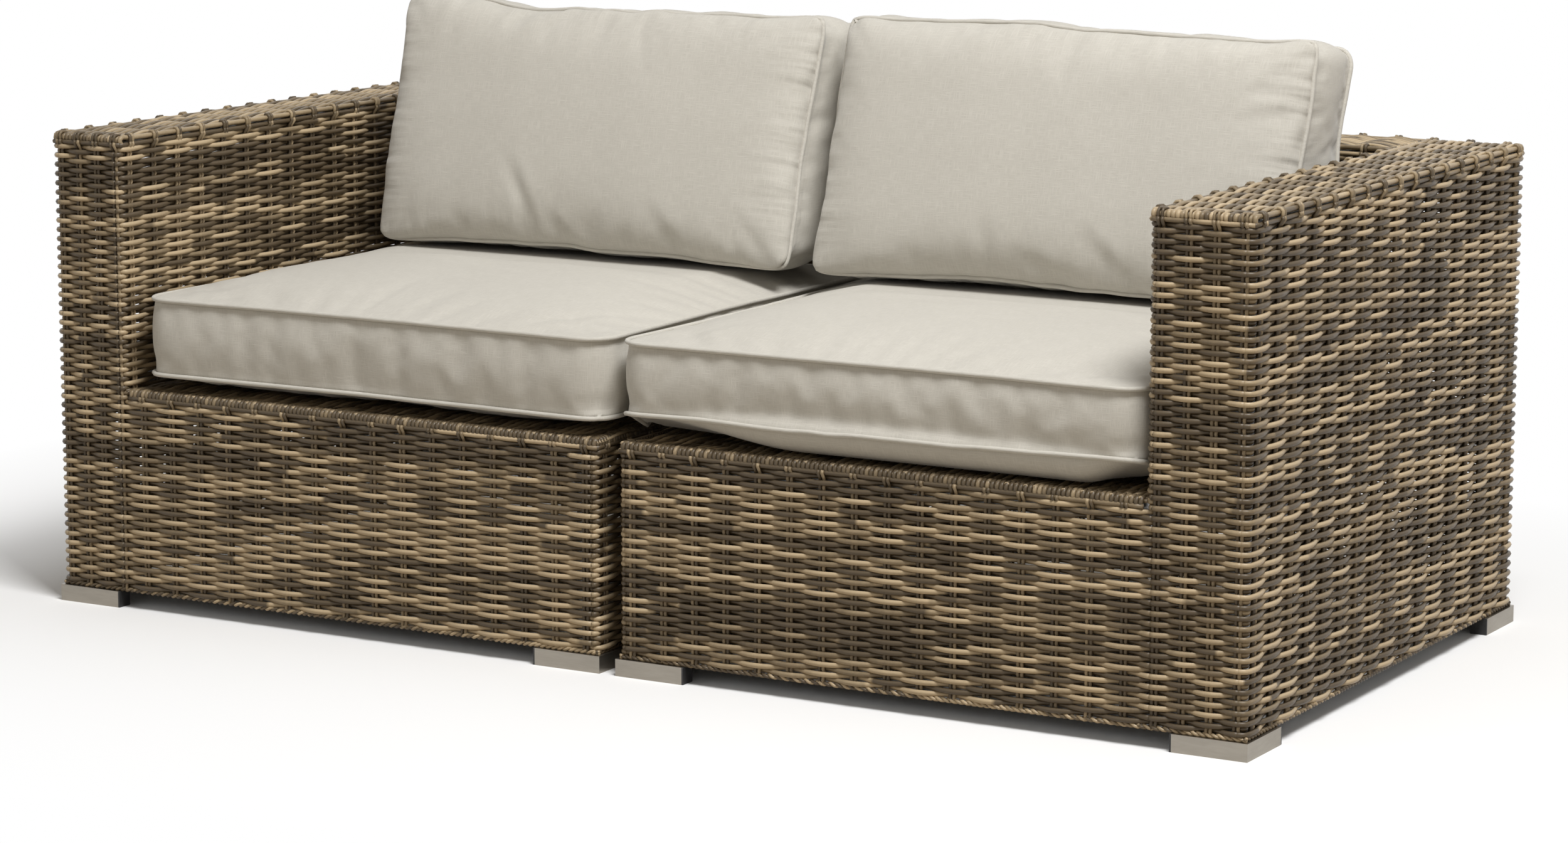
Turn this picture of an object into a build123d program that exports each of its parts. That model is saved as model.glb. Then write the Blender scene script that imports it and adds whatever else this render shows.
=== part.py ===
from build123d import *
import math
import os

os.makedirs("parts", exist_ok=True)

# A two-seat garden sofa: two mirrored end modules in round synthetic wicker, clipped together,
# each with a loose seat cushion and a loose back cushion.
# Millimetres. X runs along the sofa, the front faces -Y and Z is up from the floor.

# Modules, measured over the weave
module_width = 800.0
module_depth = 805.0
module_gap = 22.0
arm_height = 593.0
seat_rim_height = 278.0
arm_widths = {"left": 112.0, "right": 130.0}
back_thickness = 120.0
skin_thickness = 12.0
corner_radius = 10.0
deck_thickness = 8.0

# Courses of the weave: at a stake every second strand stands proud
course_pitch = 11.6
course_groove = 8.6
course_depth = 3.5
course_margin = 12.0

# Welded aluminium tube inside the weave
base_tube = 25.0
upright_tube = 20.0
tube_wall = 1.5
deck_bar_count = 3
drain_radius = 3.0

# Feet: square tube mitred into an L, with black end plugs
foot_height = 20.5
foot_leg = 90.0
foot_tube = 21.0
foot_wall = 1.5
foot_plate_reach = 23.0
foot_plate_thickness = 3.0
foot_plate_chamfer = 12.0
plug_face = 2.0
plug_stem = 10.0
plug_clearance = 0.1
plug_edge = 0.6

# One screw through the plate inside each foot
screw_radius = 3.0
screw_head_radius = 5.0
screw_head_height = 4.0
screw_head_flats = 6
screw_flats = 8
screw_grip = 14.0
screw_clearance = 0.2
screw_offset = 4.0

# Clips that hold the two modules together under their bottom rails
clip_thickness = 4.0
clip_length = 50.0
clip_lip = 22.0
clip_clearance = 0.2
clip_edge = 1.0
clip_inset = 215.0

# Cushions
cushion_corner = 34.0
cushion_draw_in_share = 0.022
foam_corner = 24.0
foam_flats = 4
cover_thickness = 1.5
filling_clearance = 0.3
piping_radius = 2.8
piping_sides = 4
piping_clearance = 0.2
rest_clearance = 0.3
crown_overrun = 14.0
zip_height = 6.0
zip_thickness = 1.4
zip_share = 0.62

# Seat cushions: each fills its seat from the arm to a little past the module's inner face
seat_cushion_boxing = 92.0
seat_cushion_crown = 26.0
seat_cushion_belly = 21.0
seat_cushion_front_setback = 8.0
seat_cushion_overhangs = {"left": 5.0, "right": 5.5}
seat_cushion_arm_gaps = {"left": 18.0, "right": 0.5}

# Back cushions
back_cushion_overhangs = {"left": 15.0, "right": -13.0}
back_cushion_arm_gaps = {"left": 63.0, "right": 17.0}
back_cushion_height = 334.0
back_cushion_boxing = 128.0
back_cushion_crown = 30.0
back_cushion_rear_crown = 75.0
back_cushion_lean = 17.5

# Profile along a crown, as shares of its reach and height
crown_shoulder_share = 0.66
crown_bend_shares = (0.62, 0.64)

deck_bar_shares = [(i + 1) / (deck_bar_count + 1) for i in range(deck_bar_count)]

sides = {"left": -1, "right": 1}
front = -module_depth / 2
rear = module_depth / 2
back_face = rear - back_thickness
arm_skin_top = arm_height - skin_thickness
rail_top = seat_rim_height - deck_thickness
inner_skin = module_width - skin_thickness

# Each foot of a module: its name, corner, and which way its legs run from there
foot_corners = (
    ("front_outer", 0, front, 1, 1),
    ("front_inner", module_width, front, -1, 1),
    ("rear_outer", 0, rear, 1, -1),
    ("rear_inner", module_width, rear, -1, -1),
)


def across(side, inward):
    """X of a point that lies this far inward from the module's outer face."""
    return sides[side] * (module_gap / 2 + module_width - inward)


def ordered(a, b):
    return (min(a, b), max(a, b))


def box_body(xs, ys, zs):
    """A plain block between two values on each axis."""
    with BuildPart() as body:
        with BuildSketch(Plane.XY.offset(zs[0])):
            with Locations(((xs[0] + xs[1]) / 2, (ys[0] + ys[1]) / 2)):
                Rectangle(xs[1] - xs[0], ys[1] - ys[0])
        extrude(amount=zs[1] - zs[0])
    return body.part


def save(part, name):
    part.label = name
    export_step(part, f"parts/{name}.step")


# Woven skins

def course_grooves(face, run, height):
    """The grooves between the courses of a wall, cut from its face. The face is a plane
    whose x points into the wall and whose y points up."""
    courses = int((height[1] - height[0]) / course_pitch)
    middle = (height[0] + height[1]) / 2
    with BuildPart() as grooves:
        with BuildSketch(face):
            for course in range(courses):
                place = middle + (course - (courses - 1) / 2) * course_pitch
                with BuildLine():
                    Polyline(
                        (0, place - course_groove / 2), (course_depth, place),
                        (0, place + course_groove / 2), close=True,
                    )
                make_face()
        extrude(amount=run / 2 - course_margin, both=True)
    return grooves.part


def woven_panel(side, name, inward, depth, height, rounded, courses_on=None):
    """One face of the weave. rounded lists the edges that the strands turn round:
    each is the axis it runs along and a point on it. courses_on is the plane of a large
    face, which gets its courses."""
    xs = ordered(across(side, inward[0]), across(side, inward[1]))
    with BuildPart() as panel:
        add(box_body(xs, depth, height))
        turned = []
        for axis, point in rounded:
            near = panel.edges().filter_by(axis).sort_by_distance(point)
            turned.append(near[0])
        if turned:
            fillet(turned, radius=corner_radius)
        if courses_on:
            run = max(xs[1] - xs[0], depth[1] - depth[0])
            add(course_grooves(courses_on, run, height), mode=Mode.SUBTRACT)
    save(panel.part, f"{name}_{side}")


def weave_module(side):
    arm = arm_widths[side]
    arm_skin = arm - skin_thickness
    outer_x = across(side, 0)
    arm_x = across(side, arm)
    inner_x = across(side, module_width)
    low_z = foot_height
    mid_y = (front + back_face) / 2

    woven_panel(
        side, "outer_side_weave", (0, skin_thickness), (front, rear), (low_z, arm_skin_top),
        [(Axis.Z, (outer_x, front, low_z)), (Axis.Z, (outer_x, rear, low_z))],
        Plane(origin=(outer_x, 0, 0), x_dir=(-sides[side], 0, 0), z_dir=(0, sides[side], 0)),
    )
    woven_panel(
        side, "arm_front_weave", (skin_thickness, arm_skin),
        (front, front + skin_thickness), (low_z, arm_skin_top), [],
    )
    woven_panel(
        side, "base_front_weave", (arm_skin, inner_skin),
        (front, front + skin_thickness), (low_z, seat_rim_height),
        [(Axis.X, (across(side, module_width / 2), front, seat_rim_height))],
    )
    woven_panel(
        side, "inner_side_weave", (inner_skin, module_width), (front, rear),
        (low_z, seat_rim_height),
        [(Axis.Z, (inner_x, front, low_z)), (Axis.Z, (inner_x, rear, low_z))],
    )
    woven_panel(
        side, "back_end_weave", (inner_skin, module_width), (back_face, rear),
        (seat_rim_height, arm_skin_top),
        [(Axis.Z, (inner_x, rear, arm_skin_top)), (Axis.Z, (inner_x, back_face, arm_skin_top))],
    )
    woven_panel(
        side, "back_outer_weave", (skin_thickness, inner_skin),
        (rear - skin_thickness, rear), (low_z, arm_skin_top), [],
        Plane(
            origin=(across(side, module_width / 2), rear, 0), x_dir=(0, -1, 0), z_dir=(-1, 0, 0)
        ),
    )
    woven_panel(
        side, "back_inner_weave", (arm, inner_skin),
        (back_face, back_face + skin_thickness), (seat_rim_height, arm_skin_top), [],
    )
    woven_panel(
        side, "arm_inner_weave", (arm_skin, arm), (front, back_face),
        (seat_rim_height, arm_skin_top), [(Axis.Z, (arm_x, front, arm_skin_top))],
    )
    woven_panel(
        side, "arm_top_weave", (0, arm), (front, rear), (arm_skin_top, arm_height),
        [
            (Axis.Z, (outer_x, front, arm_height)),
            (Axis.Z, (outer_x, rear, arm_height)),
            (Axis.Z, (arm_x, front, arm_height)),
            (Axis.Y, (outer_x, mid_y, arm_height)),
            (Axis.X, (across(side, arm / 2), front, arm_height)),
            (Axis.X, (across(side, arm / 2), rear, arm_height)),
        ],
    )
    woven_panel(
        side, "back_top_weave", (arm, module_width), (back_face, rear),
        (arm_skin_top, arm_height),
        [
            (Axis.X, (across(side, module_width / 2), back_face, arm_height)),
            (Axis.X, (across(side, module_width / 2), rear, arm_height)),
        ],
    )
    woven_panel(
        side, "seat_deck", (arm_skin, inner_skin),
        (front + skin_thickness, back_face + skin_thickness), (rail_top, seat_rim_height), [],
    )


# Tube frames

def tube_frame(side, tubes):
    """Welded square tube. Each tube is its inward, depth and height range, and the bores
    join at the corners."""
    with BuildPart() as frame:
        for wall, mode in ((0, Mode.ADD), (tube_wall, Mode.SUBTRACT)):
            for inward, depth, height in tubes:
                xs = ordered(across(side, inward[0]), across(side, inward[1]))
                spans = [(low + wall, high - wall) for low, high in (xs, depth, height)]
                add(box_body(*spans), mode=mode)
    return frame.part


def drained(frame, x, y, height):
    """The frame with a hole in the foot of one post, for water and welding gas."""
    with BuildPart() as drilled:
        add(frame)
        with BuildSketch(Plane.XY.offset(height)):
            with Locations((x, y)):
                Circle(drain_radius)
        extrude(amount=2 * tube_wall, both=True, mode=Mode.SUBTRACT)
    return drilled.part


def foot_screw_places(side):
    """X and Y of the screw in each foot's plate, under the corner of the frame."""
    inset = skin_thickness + base_tube / 2 + screw_offset
    return [
        (across(side, edge + sign * inset), end + way * inset)
        for name, edge, end, sign, way in foot_corners
    ]


def base_frame(side):
    """Two rings joined by corner posts."""
    near, far = skin_thickness, inner_skin
    low, high = front + skin_thickness, rear - skin_thickness
    tubes = []
    for level in ((foot_height, foot_height + base_tube), (rail_top - base_tube, rail_top)):
        tubes.append(((near, far), (low, low + base_tube), level))
        tubes.append(((near, far), (high - base_tube, high), level))
        tubes.append(((near, near + base_tube), (low, high), level))
        tubes.append(((far - base_tube, far), (low, high), level))
    for inward in ((near, near + base_tube), (far - base_tube, far)):
        for depth in ((low, low + base_tube), (high - base_tube, high)):
            tubes.append((inward, depth, (foot_height, rail_top)))
    with BuildPart() as drilled:
        add(tube_frame(side, tubes))
        with BuildSketch(Plane.XY.offset(foot_height)):
            with Locations(*foot_screw_places(side)):
                Circle(screw_radius + screw_clearance)
        extrude(amount=2 * tube_wall, both=True, mode=Mode.SUBTRACT)
    save(drilled.part, f"base_frame_{side}")


def open_tube(side, inward, depth, height, axis):
    """One cut length of square tube, open at both ends, running along this axis."""
    xs = ordered(across(side, inward[0]), across(side, inward[1]))
    outside = (xs, depth, height)
    bore = [
        span if place == axis else (span[0] + tube_wall, span[1] - tube_wall)
        for place, span in zip("XYZ", outside)
    ]
    with BuildPart() as tube:
        add(box_body(*outside))
        add(box_body(*bore), mode=Mode.SUBTRACT)
    return tube.part.solid()


def seat_bars(side):
    """Tubes butted into the upper ring: a rail under the inside of the arm, a rail under the
    front of the back and the bars under the seat deck."""
    low, high = front + skin_thickness + base_tube, rear - skin_thickness - base_tube
    level = (rail_top - base_tube, rail_top)
    arm_rail = arm_widths[side] - skin_thickness
    far = inner_skin - base_tube
    bars = [
        open_tube(side, (arm_rail - base_tube, arm_rail), (low, high), level, "Y"),
        open_tube(side, (arm_rail, far), (back_face, back_face + base_tube), level, "X"),
    ]
    for share in deck_bar_shares:
        place = arm_rail + share * (far - arm_rail)
        inward = (place - base_tube / 2, place + base_tube / 2)
        bars.append(open_tube(side, inward, (low, back_face), level, "Y"))
    save(Compound(children=bars), f"seat_bars_{side}")


def arm_frame(side):
    """Two top rails on posts, tied across at the front and the back."""
    arm = arm_widths[side]
    near, far = skin_thickness, arm - skin_thickness
    low, high = front + skin_thickness, rear - skin_thickness
    inner_high = back_face + skin_thickness + upright_tube
    top = (arm_skin_top - upright_tube, arm_skin_top)
    full = (rail_top, arm_skin_top)
    tubes = [
        ((near, near + upright_tube), (low, high), top),
        ((far - upright_tube, far), (low, high), top),
        ((near, far), (low, low + upright_tube), top),
        ((near, far), (high - upright_tube, high), top),
        ((near, near + upright_tube), (low, low + upright_tube), full),
        ((far - upright_tube, far), (low, low + upright_tube), full),
        ((near, near + upright_tube), (high - upright_tube, high), full),
        ((far - upright_tube, far), (inner_high - upright_tube, inner_high), full),
    ]
    post = (across(side, near + upright_tube / 2), low + upright_tube / 2)
    save(drained(tube_frame(side, tubes), *post, rail_top), f"arm_frame_{side}")


def back_frame(side):
    """Two top rails along the back, with posts at both ends."""
    arm = arm_widths[side]
    near, far = arm, inner_skin
    low, high = back_face + skin_thickness, rear - skin_thickness
    top = (arm_skin_top - upright_tube, arm_skin_top)
    full = (rail_top, arm_skin_top)
    tubes = [
        ((near, far), (low, low + upright_tube), top),
        ((near, far), (high - upright_tube, high), top),
        ((near, near + upright_tube), (low, high), top),
        ((far - upright_tube, far), (low, high), top),
    ]
    for inward in ((near, near + upright_tube), (far - upright_tube, far)):
        tubes.append((inward, (high - upright_tube, high), full))
    post = (across(side, far - upright_tube / 2), high - upright_tube / 2)
    save(drained(tube_frame(side, tubes), *post, rail_top), f"back_frame_{side}")


# Feet, plugs and screws

def leg_box(side, corner, along, start, stop, shrink, height):
    """A block on one leg of a foot, from start to stop along it, shrunk on both sides."""
    name, edge, end, sign, way = corner
    long_range = (start, stop)
    side_range = (shrink, foot_tube - shrink)
    inward, depth = (long_range, side_range) if along == "x" else (side_range, long_range)
    xs = ordered(across(side, edge + sign * inward[0]), across(side, edge + sign * inward[1]))
    ys = ordered(end + way * depth[0], end + way * depth[1])
    return box_body(xs, ys, height)


def foot_plate(side, corner, place):
    """The plate welded inside the L, bolted up into the corner of the frame."""
    name, edge, end, sign, way = corner
    near, far = foot_tube, foot_tube + foot_plate_reach
    xs = ordered(across(side, edge + sign * near), across(side, edge + sign * far))
    ys = ordered(end + way * near, end + way * far)
    with BuildPart() as plate:
        add(box_body(xs, ys, (foot_height - foot_plate_thickness, foot_height)))
        tip = (across(side, edge + sign * far), end + way * far, foot_height)
        chamfer(
            plate.edges().filter_by(Axis.Z).sort_by_distance(tip)[0],
            length=foot_plate_chamfer,
        )
        with BuildSketch(Plane.XY.offset(foot_height)):
            with Locations(place):
                Circle(screw_radius + screw_clearance)
        extrude(amount=-foot_plate_thickness, mode=Mode.SUBTRACT)
    return plate.part


def feet(side):
    bore = (foot_wall, foot_height - foot_wall)
    for corner, place in zip(foot_corners, foot_screw_places(side)):
        with BuildPart() as foot:
            for along in ("x", "y"):
                add(leg_box(side, corner, along, 0, foot_leg, 0, (0, foot_height)))
            for along in ("x", "y"):
                add(
                    leg_box(side, corner, along, foot_wall, foot_leg, foot_wall, bore),
                    mode=Mode.SUBTRACT,
                )
            add(foot_plate(side, corner, place))
        save(foot.part, f"foot_{corner[0]}_{side}")


def foot_plugs(side):
    """A flat black face over each open end, on a stem pushed into the tube."""
    bodies = []
    shrink = foot_wall + plug_clearance
    stem_height = (shrink, foot_height - shrink)
    for corner in foot_corners:
        for along in ("x", "y"):
            with BuildPart() as plug:
                face_end = foot_leg + plug_face
                add(leg_box(side, corner, along, foot_leg, face_end, 0, (0, foot_height)))
                rim = plug.edges().filter_by(Axis.X if along == "x" else Axis.Y)
                chamfer(rim, length=plug_edge)
                stem_start = foot_leg - plug_stem
                add(leg_box(side, corner, along, stem_start, foot_leg, shrink, stem_height))
            bodies.append(plug.part.solid())
    save(Compound(children=bodies), f"foot_plugs_{side}")


def foot_screws(side):
    bodies = []
    head_top = foot_height - foot_plate_thickness
    for place in foot_screw_places(side):
        with BuildPart() as screw:
            with BuildSketch(Plane.XY.offset(head_top - screw_head_height)):
                with Locations(place):
                    RegularPolygon(screw_head_radius, screw_head_flats)
            extrude(amount=screw_head_height)
            with BuildSketch(Plane.XY.offset(head_top)):
                with Locations(place):
                    RegularPolygon(screw_radius, screw_flats)
            extrude(amount=screw_grip)
        bodies.append(screw.part.solid())
    save(Compound(children=bodies), f"foot_screws_{side}")


def module_clip(name, depth):
    """A channel pushed up over the two neighbouring bottom rails from below."""
    reach = module_gap / 2 + skin_thickness + base_tube + clip_clearance
    outside = reach + clip_thickness
    floor = foot_height - clip_clearance - clip_thickness
    lip_top = foot_height + clip_lip
    with BuildPart() as clip:
        with BuildSketch(Plane.XZ.offset(-(depth + clip_length / 2))):
            with BuildLine():
                Polyline(
                    (-outside, floor), (outside, floor), (outside, lip_top), (reach, lip_top),
                    (reach, floor + clip_thickness), (-reach, floor + clip_thickness),
                    (-reach, lip_top), (-outside, lip_top), close=True,
                )
            make_face()
        extrude(amount=clip_length)
        fillet(clip.edges().filter_by(Axis.Y).group_by(Axis.Z)[0], radius=clip_edge)
    save(clip.part, name)


# Cushion forms

def seam_outline(width, low, high, grow):
    """A cushion's outline: each side drawn in to its middle by two straight runs, tangent to
    the rounded corners. grow moves the whole outline outward."""
    radius = cushion_corner + grow
    middle = (low + high) / 2
    corner_x = width / 2 + grow - radius
    corner_y = (high - low) / 2 + grow - radius
    turn = math.atan(cushion_draw_in_share)
    start = radius / math.cos(turn)
    waist_x = corner_x + start - cushion_draw_in_share * corner_y
    waist_y = corner_y + start - cushion_draw_in_share * corner_x

    def on_corner(sx, sy, angle):
        x = corner_x + radius * math.cos(angle)
        y = corner_y + radius * math.sin(angle)
        return (sx * x, middle + sy * y)

    square = math.pi / 2
    with BuildSketch() as outline:
        with BuildLine():
            for sx, sy in ((1, 1), (-1, 1), (-1, -1), (1, -1)):
                begin = on_corner(sx, sy, -turn)
                end = on_corner(sx, sy, square + turn)
                ThreePointArc(begin, on_corner(sx, sy, square / 2), end)
                Line((sx * waist_x, middle), begin)
                Line(end, (0, middle + sy * waist_y))
        make_face()
    return outline.sketch


def foam_outline(width, low, high, grow):
    """The outline of the foam block inside a cushion: straight sides that clear the drawn-in
    ones, and cut corners."""
    draw_x = cushion_draw_in_share * ((high - low) / 2 - cushion_corner)
    draw_y = cushion_draw_in_share * (width / 2 - cushion_corner)
    with BuildSketch() as outline:
        with Locations((0, (low + high) / 2)):
            Rectangle(width + 2 * (grow - draw_x), high - low + 2 * (grow - draw_y))
        chamfer(outline.vertices(), length=foam_corner)
    return outline.sketch


def crown(plane, width, low, high, height, outward, outline, rounded):
    """The domed panel over one seam: an arc from low to high, cut down towards both ends of
    the cushion by a second profile along it. Where not rounded, both are cut in flats."""
    reach = width / 2 + crown_overrun
    start, stop = low - crown_overrun, high + crown_overrun
    shoulder = reach * crown_shoulder_share
    first = Plane(
        origin=plane.origin - plane.x_dir * reach, x_dir=plane.y_dir, z_dir=plane.x_dir
    )
    last = Plane(
        origin=plane.origin + plane.y_dir * stop, x_dir=plane.x_dir, z_dir=-plane.y_dir
    )
    bend = (
        shoulder + (reach - shoulder) * crown_bend_shares[0],
        outward * height * crown_bend_shares[1],
    )
    brow = (shoulder, outward * height)
    with BuildPart() as dome:
        with BuildSketch(first):
            with BuildLine():
                if rounded:
                    ThreePointArc((start, 0), ((low + high) / 2, outward * height), (stop, 0))
                else:
                    places = [start + (stop - start) * i / foam_flats for i in range(foam_flats)]
                    flats = [(y, outward * arc_height(low, high, height, y)) for y in places]
                    Polyline(*flats, (stop, 0))
                Line((stop, 0), (start, 0))
            make_face()
        extrude(amount=2 * reach)
        with BuildSketch(last):
            with BuildLine():
                for sign in (1, -1):
                    foot, top = (sign * reach, 0), (sign * brow[0], brow[1])
                    if rounded:
                        ThreePointArc(foot, (sign * bend[0], bend[1]), top)
                    else:
                        Line(foot, top)
                Line(brow, (-brow[0], brow[1]))
                Line((-reach, 0), (reach, 0))
            make_face()
        extrude(amount=stop - start, mode=Mode.INTERSECT)
        with BuildSketch(plane):
            add(outline)
        extrude(amount=outward * height * 2, mode=Mode.INTERSECT)
    return dome.part


def cushion_form(shape, outline, grow, rounded):
    """Boxing between two seam planes, with a crown outside each. outline draws its seams,
    and a negative grow moves every surface inward."""
    width = shape["width"]
    seams = (
        (shape["plane"].offset(-grow), shape["low"], shape["crown"], -1),
        (shape["plane"].offset(shape["boxing"] + grow), shape["low"] + shape["rise"],
         shape["belly"], 1),
    )
    with BuildPart() as form:
        for plane, low, height, outward in seams:
            with BuildSketch(plane):
                add(outline(width, low, shape["high"], grow))
        loft(ruled=True)
        for plane, low, height, outward in seams:
            seam = outline(width, low, shape["high"], grow)
            add(crown(plane, width, low, shape["high"], height, outward, seam, rounded))
    return form.part


def cushion_piping(shape):
    """The corded seam round each face of the cushion."""
    loops = []
    out = piping_radius + piping_clearance
    seams = (
        (shape["plane"], shape["low"]),
        (shape["plane"].offset(shape["boxing"]), shape["low"] + shape["rise"]),
    )
    for plane, low in seams:
        loop = seam_outline(shape["width"], low, shape["high"], out).face().outer_wire()
        path = plane.from_local_coords(loop)
        with BuildPart() as cord:
            with BuildSketch(Plane(origin=path @ 0, z_dir=path % 0)):
                RegularPolygon(piping_radius, piping_sides)
            sweep(path=path, transition=Transition.RIGHT)
        loops.append(cord.part.solid())
    return Compound(children=loops)


def cushion_zip(shape):
    """The zip in the middle of the hidden side's boxing, clear of its slope."""
    slope = shape["rise"] / shape["boxing"]
    middle = shape["plane"].offset((shape["boxing"] - zip_height) / 2)
    low = shape["low"] + shape["rise"] / 2
    near = piping_clearance + slope * zip_height / 2
    with BuildPart() as zipper:
        with BuildSketch(middle):
            add(seam_outline(shape["width"], low, shape["high"], near + zip_thickness))
            add(seam_outline(shape["width"], low, shape["high"], near), mode=Mode.SUBTRACT)
            with Locations((0, low)):
                Rectangle(zip_share * shape["width"], 2 * cushion_corner, mode=Mode.INTERSECT)
        extrude(amount=zip_height)
    return zipper.part.solid()


def cushion(name, shape):
    """A padded cover round a foam block, with its piping and its zip."""
    foam_grow = -cover_thickness - filling_clearance
    with BuildPart() as cover:
        add(cushion_form(shape, seam_outline, 0, True))
        add(cushion_form(shape, foam_outline, -cover_thickness, False), mode=Mode.SUBTRACT)
    save(cover.part, f"{name}_cover")
    save(cushion_form(shape, foam_outline, foam_grow, False), f"{name}_filling")
    save(cushion_piping(shape), f"{name}_piping")
    save(cushion_zip(shape), f"{name}_zip")


def arc_height(low, high, height, place):
    """Height of the middle crown section over its seam plane at this place along it."""
    half = (high - low) / 2 + crown_overrun
    radius = (half * half + height * height) / (2 * height)
    away = place - (low + high) / 2
    return math.sqrt(radius * radius - away * away) - radius + height


piping_reach = 2 * piping_radius + piping_clearance
seam_height = seat_rim_height + rest_clearance + seat_cushion_belly + seat_cushion_boxing
seat_low = -(back_face - rest_clearance - piping_reach)
seat_high = -(front + seat_cushion_front_setback)


def cushion_span(side, overhang, arm_gap):
    """Middle and width of a cushion that starts a gap from the arm and ends an overhang past
    the module's inner face, measured over its piping."""
    width = module_width - arm_widths[side] - arm_gap + overhang
    return across(side, module_width) + sides[side] * (width / 2 - overhang), width


def seat_shape(side):
    """Seam plane on top, thickness downward; local y points to the front."""
    centre, width = cushion_span(
        side, seat_cushion_overhangs[side], seat_cushion_arm_gaps[side]
    )
    plane = Plane(origin=(centre, 0, seam_height), x_dir=(1, 0, 0), z_dir=(0, 0, -1))
    return {
        "plane": plane,
        "width": width - 2 * piping_reach,
        "low": seat_low,
        "high": seat_high,
        "boxing": seat_cushion_boxing,
        "rise": 0,
        "crown": seat_cushion_crown,
        "belly": seat_cushion_belly,
    }


def back_place():
    """Depth and height of the front seam's foot: the cushion stands on the seat cushion's
    crown, and its rear crown leans on the rounded rim of the back."""
    lean = math.radians(back_cushion_lean)
    rise = back_cushion_boxing * math.tan(lean)
    half = (back_cushion_height - rise) / 2 + crown_overrun
    swell = back_cushion_rear_crown
    radius = (half * half + swell * swell) / (2 * swell)
    hub_along = (back_cushion_height + rise) / 2
    hub_out = back_cushion_boxing + swell - radius
    hub_y = hub_along * math.sin(lean) + hub_out * math.cos(lean)
    hub_z = hub_along * math.cos(lean) - hub_out * math.sin(lean)
    rim_y = back_face + corner_radius
    rim_z = arm_height - corner_radius
    apart = radius + corner_radius + rest_clearance
    depth = 0
    for step in range(12):
        stand = seam_height + arc_height(seat_low, seat_high, seat_cushion_crown, -depth)
        height = stand + rest_clearance + piping_reach
        drop = rim_z - (height + hub_z)
        depth = rim_y - math.sqrt(apart * apart - drop * drop) - hub_y
    return depth, height


def back_shape(side):
    """Front seam plane leaning back, thickness to the rear; local y points up."""
    lean = math.radians(back_cushion_lean)
    centre, width = cushion_span(
        side, back_cushion_overhangs[side], back_cushion_arm_gaps[side]
    )
    depth, height = back_place()
    plane = Plane(
        origin=(centre, depth, height),
        x_dir=(-1, 0, 0),
        z_dir=(0, math.cos(lean), -math.sin(lean)),
    )
    return {
        "plane": plane,
        "width": width - 2 * piping_reach,
        "low": 0,
        "high": back_cushion_height,
        "boxing": back_cushion_boxing,
        "rise": back_cushion_boxing * math.tan(lean),
        "crown": back_cushion_crown,
        "belly": back_cushion_rear_crown,
    }


for side in sides:
    weave_module(side)
    base_frame(side)
    seat_bars(side)
    arm_frame(side)
    back_frame(side)
    feet(side)
    foot_plugs(side)
    foot_screws(side)
    cushion(f"seat_cushion_{side}", seat_shape(side))
    cushion(f"back_cushion_{side}", back_shape(side))

module_clip("front_module_clip", -clip_inset)
module_clip("rear_module_clip", clip_inset)
print("back cushion foot at", back_place())
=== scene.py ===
"""Patio loveseat in round synthetic wicker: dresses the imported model, stages and frames it.

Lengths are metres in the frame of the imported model: X along the sofa, the front at -Y, Z up.
"""
import math

import bpy
import numpy as np
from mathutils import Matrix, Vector


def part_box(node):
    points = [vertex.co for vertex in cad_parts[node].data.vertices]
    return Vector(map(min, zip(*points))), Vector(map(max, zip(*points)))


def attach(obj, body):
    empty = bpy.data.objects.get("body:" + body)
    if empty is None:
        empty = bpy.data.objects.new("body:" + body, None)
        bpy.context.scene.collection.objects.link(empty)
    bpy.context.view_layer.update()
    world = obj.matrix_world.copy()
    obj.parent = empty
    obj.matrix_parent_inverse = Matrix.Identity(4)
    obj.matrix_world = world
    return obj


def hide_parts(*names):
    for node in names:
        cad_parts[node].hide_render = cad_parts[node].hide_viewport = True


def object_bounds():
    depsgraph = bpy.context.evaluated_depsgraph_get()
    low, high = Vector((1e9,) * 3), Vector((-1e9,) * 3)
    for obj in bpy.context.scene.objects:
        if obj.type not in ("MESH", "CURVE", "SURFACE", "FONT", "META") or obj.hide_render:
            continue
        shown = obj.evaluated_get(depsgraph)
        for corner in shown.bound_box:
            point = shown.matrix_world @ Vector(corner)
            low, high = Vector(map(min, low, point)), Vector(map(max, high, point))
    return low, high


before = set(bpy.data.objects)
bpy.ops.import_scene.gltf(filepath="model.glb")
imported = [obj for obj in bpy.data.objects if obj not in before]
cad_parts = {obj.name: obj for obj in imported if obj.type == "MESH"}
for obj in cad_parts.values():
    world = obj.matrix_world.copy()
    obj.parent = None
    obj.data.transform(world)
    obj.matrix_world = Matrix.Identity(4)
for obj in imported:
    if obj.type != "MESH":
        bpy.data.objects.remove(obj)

cad_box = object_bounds()
scene = bpy.context.scene
sides = {"left": -1, "right": 1}


# The tube frames inside the weave.
# Square aluminium tube, mitred and welded into two rings and a box for each arm and back,
# left as drawn: grey, with faint lines along the tube.

tube_grey = (0.56, 0.57, 0.58)
tube_roughness = 0.38
tube_grain = (0.15, 1.0, 1.0)
line_scales = (60.0, 320.0)
line_depth = 0.00003
line_shade = 0.84
smudge_scales = (9.0, 55.0)
smudge_roughness = (-0.06, 0.09)
fine_noise_share = 0.45


def add_node(tree, kind, inputs=(), **settings):
    """A shader node of this kind with its settings. inputs gives, by name or by number, each
    socket's value or the output that feeds it."""
    node = tree.nodes.new("ShaderNode" + kind)
    for name, value in settings.items():
        setattr(node, name, value)
    for key, value in dict(inputs).items():
        if isinstance(value, bpy.types.NodeSocket):
            tree.links.new(value, node.inputs[key])
        else:
            node.inputs[key].default_value = value
    return node


def add_math(tree, operation, *values):
    """One Math node on these numbers and outputs."""
    return add_node(tree, "Math", enumerate(values), operation=operation).outputs[0]


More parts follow.
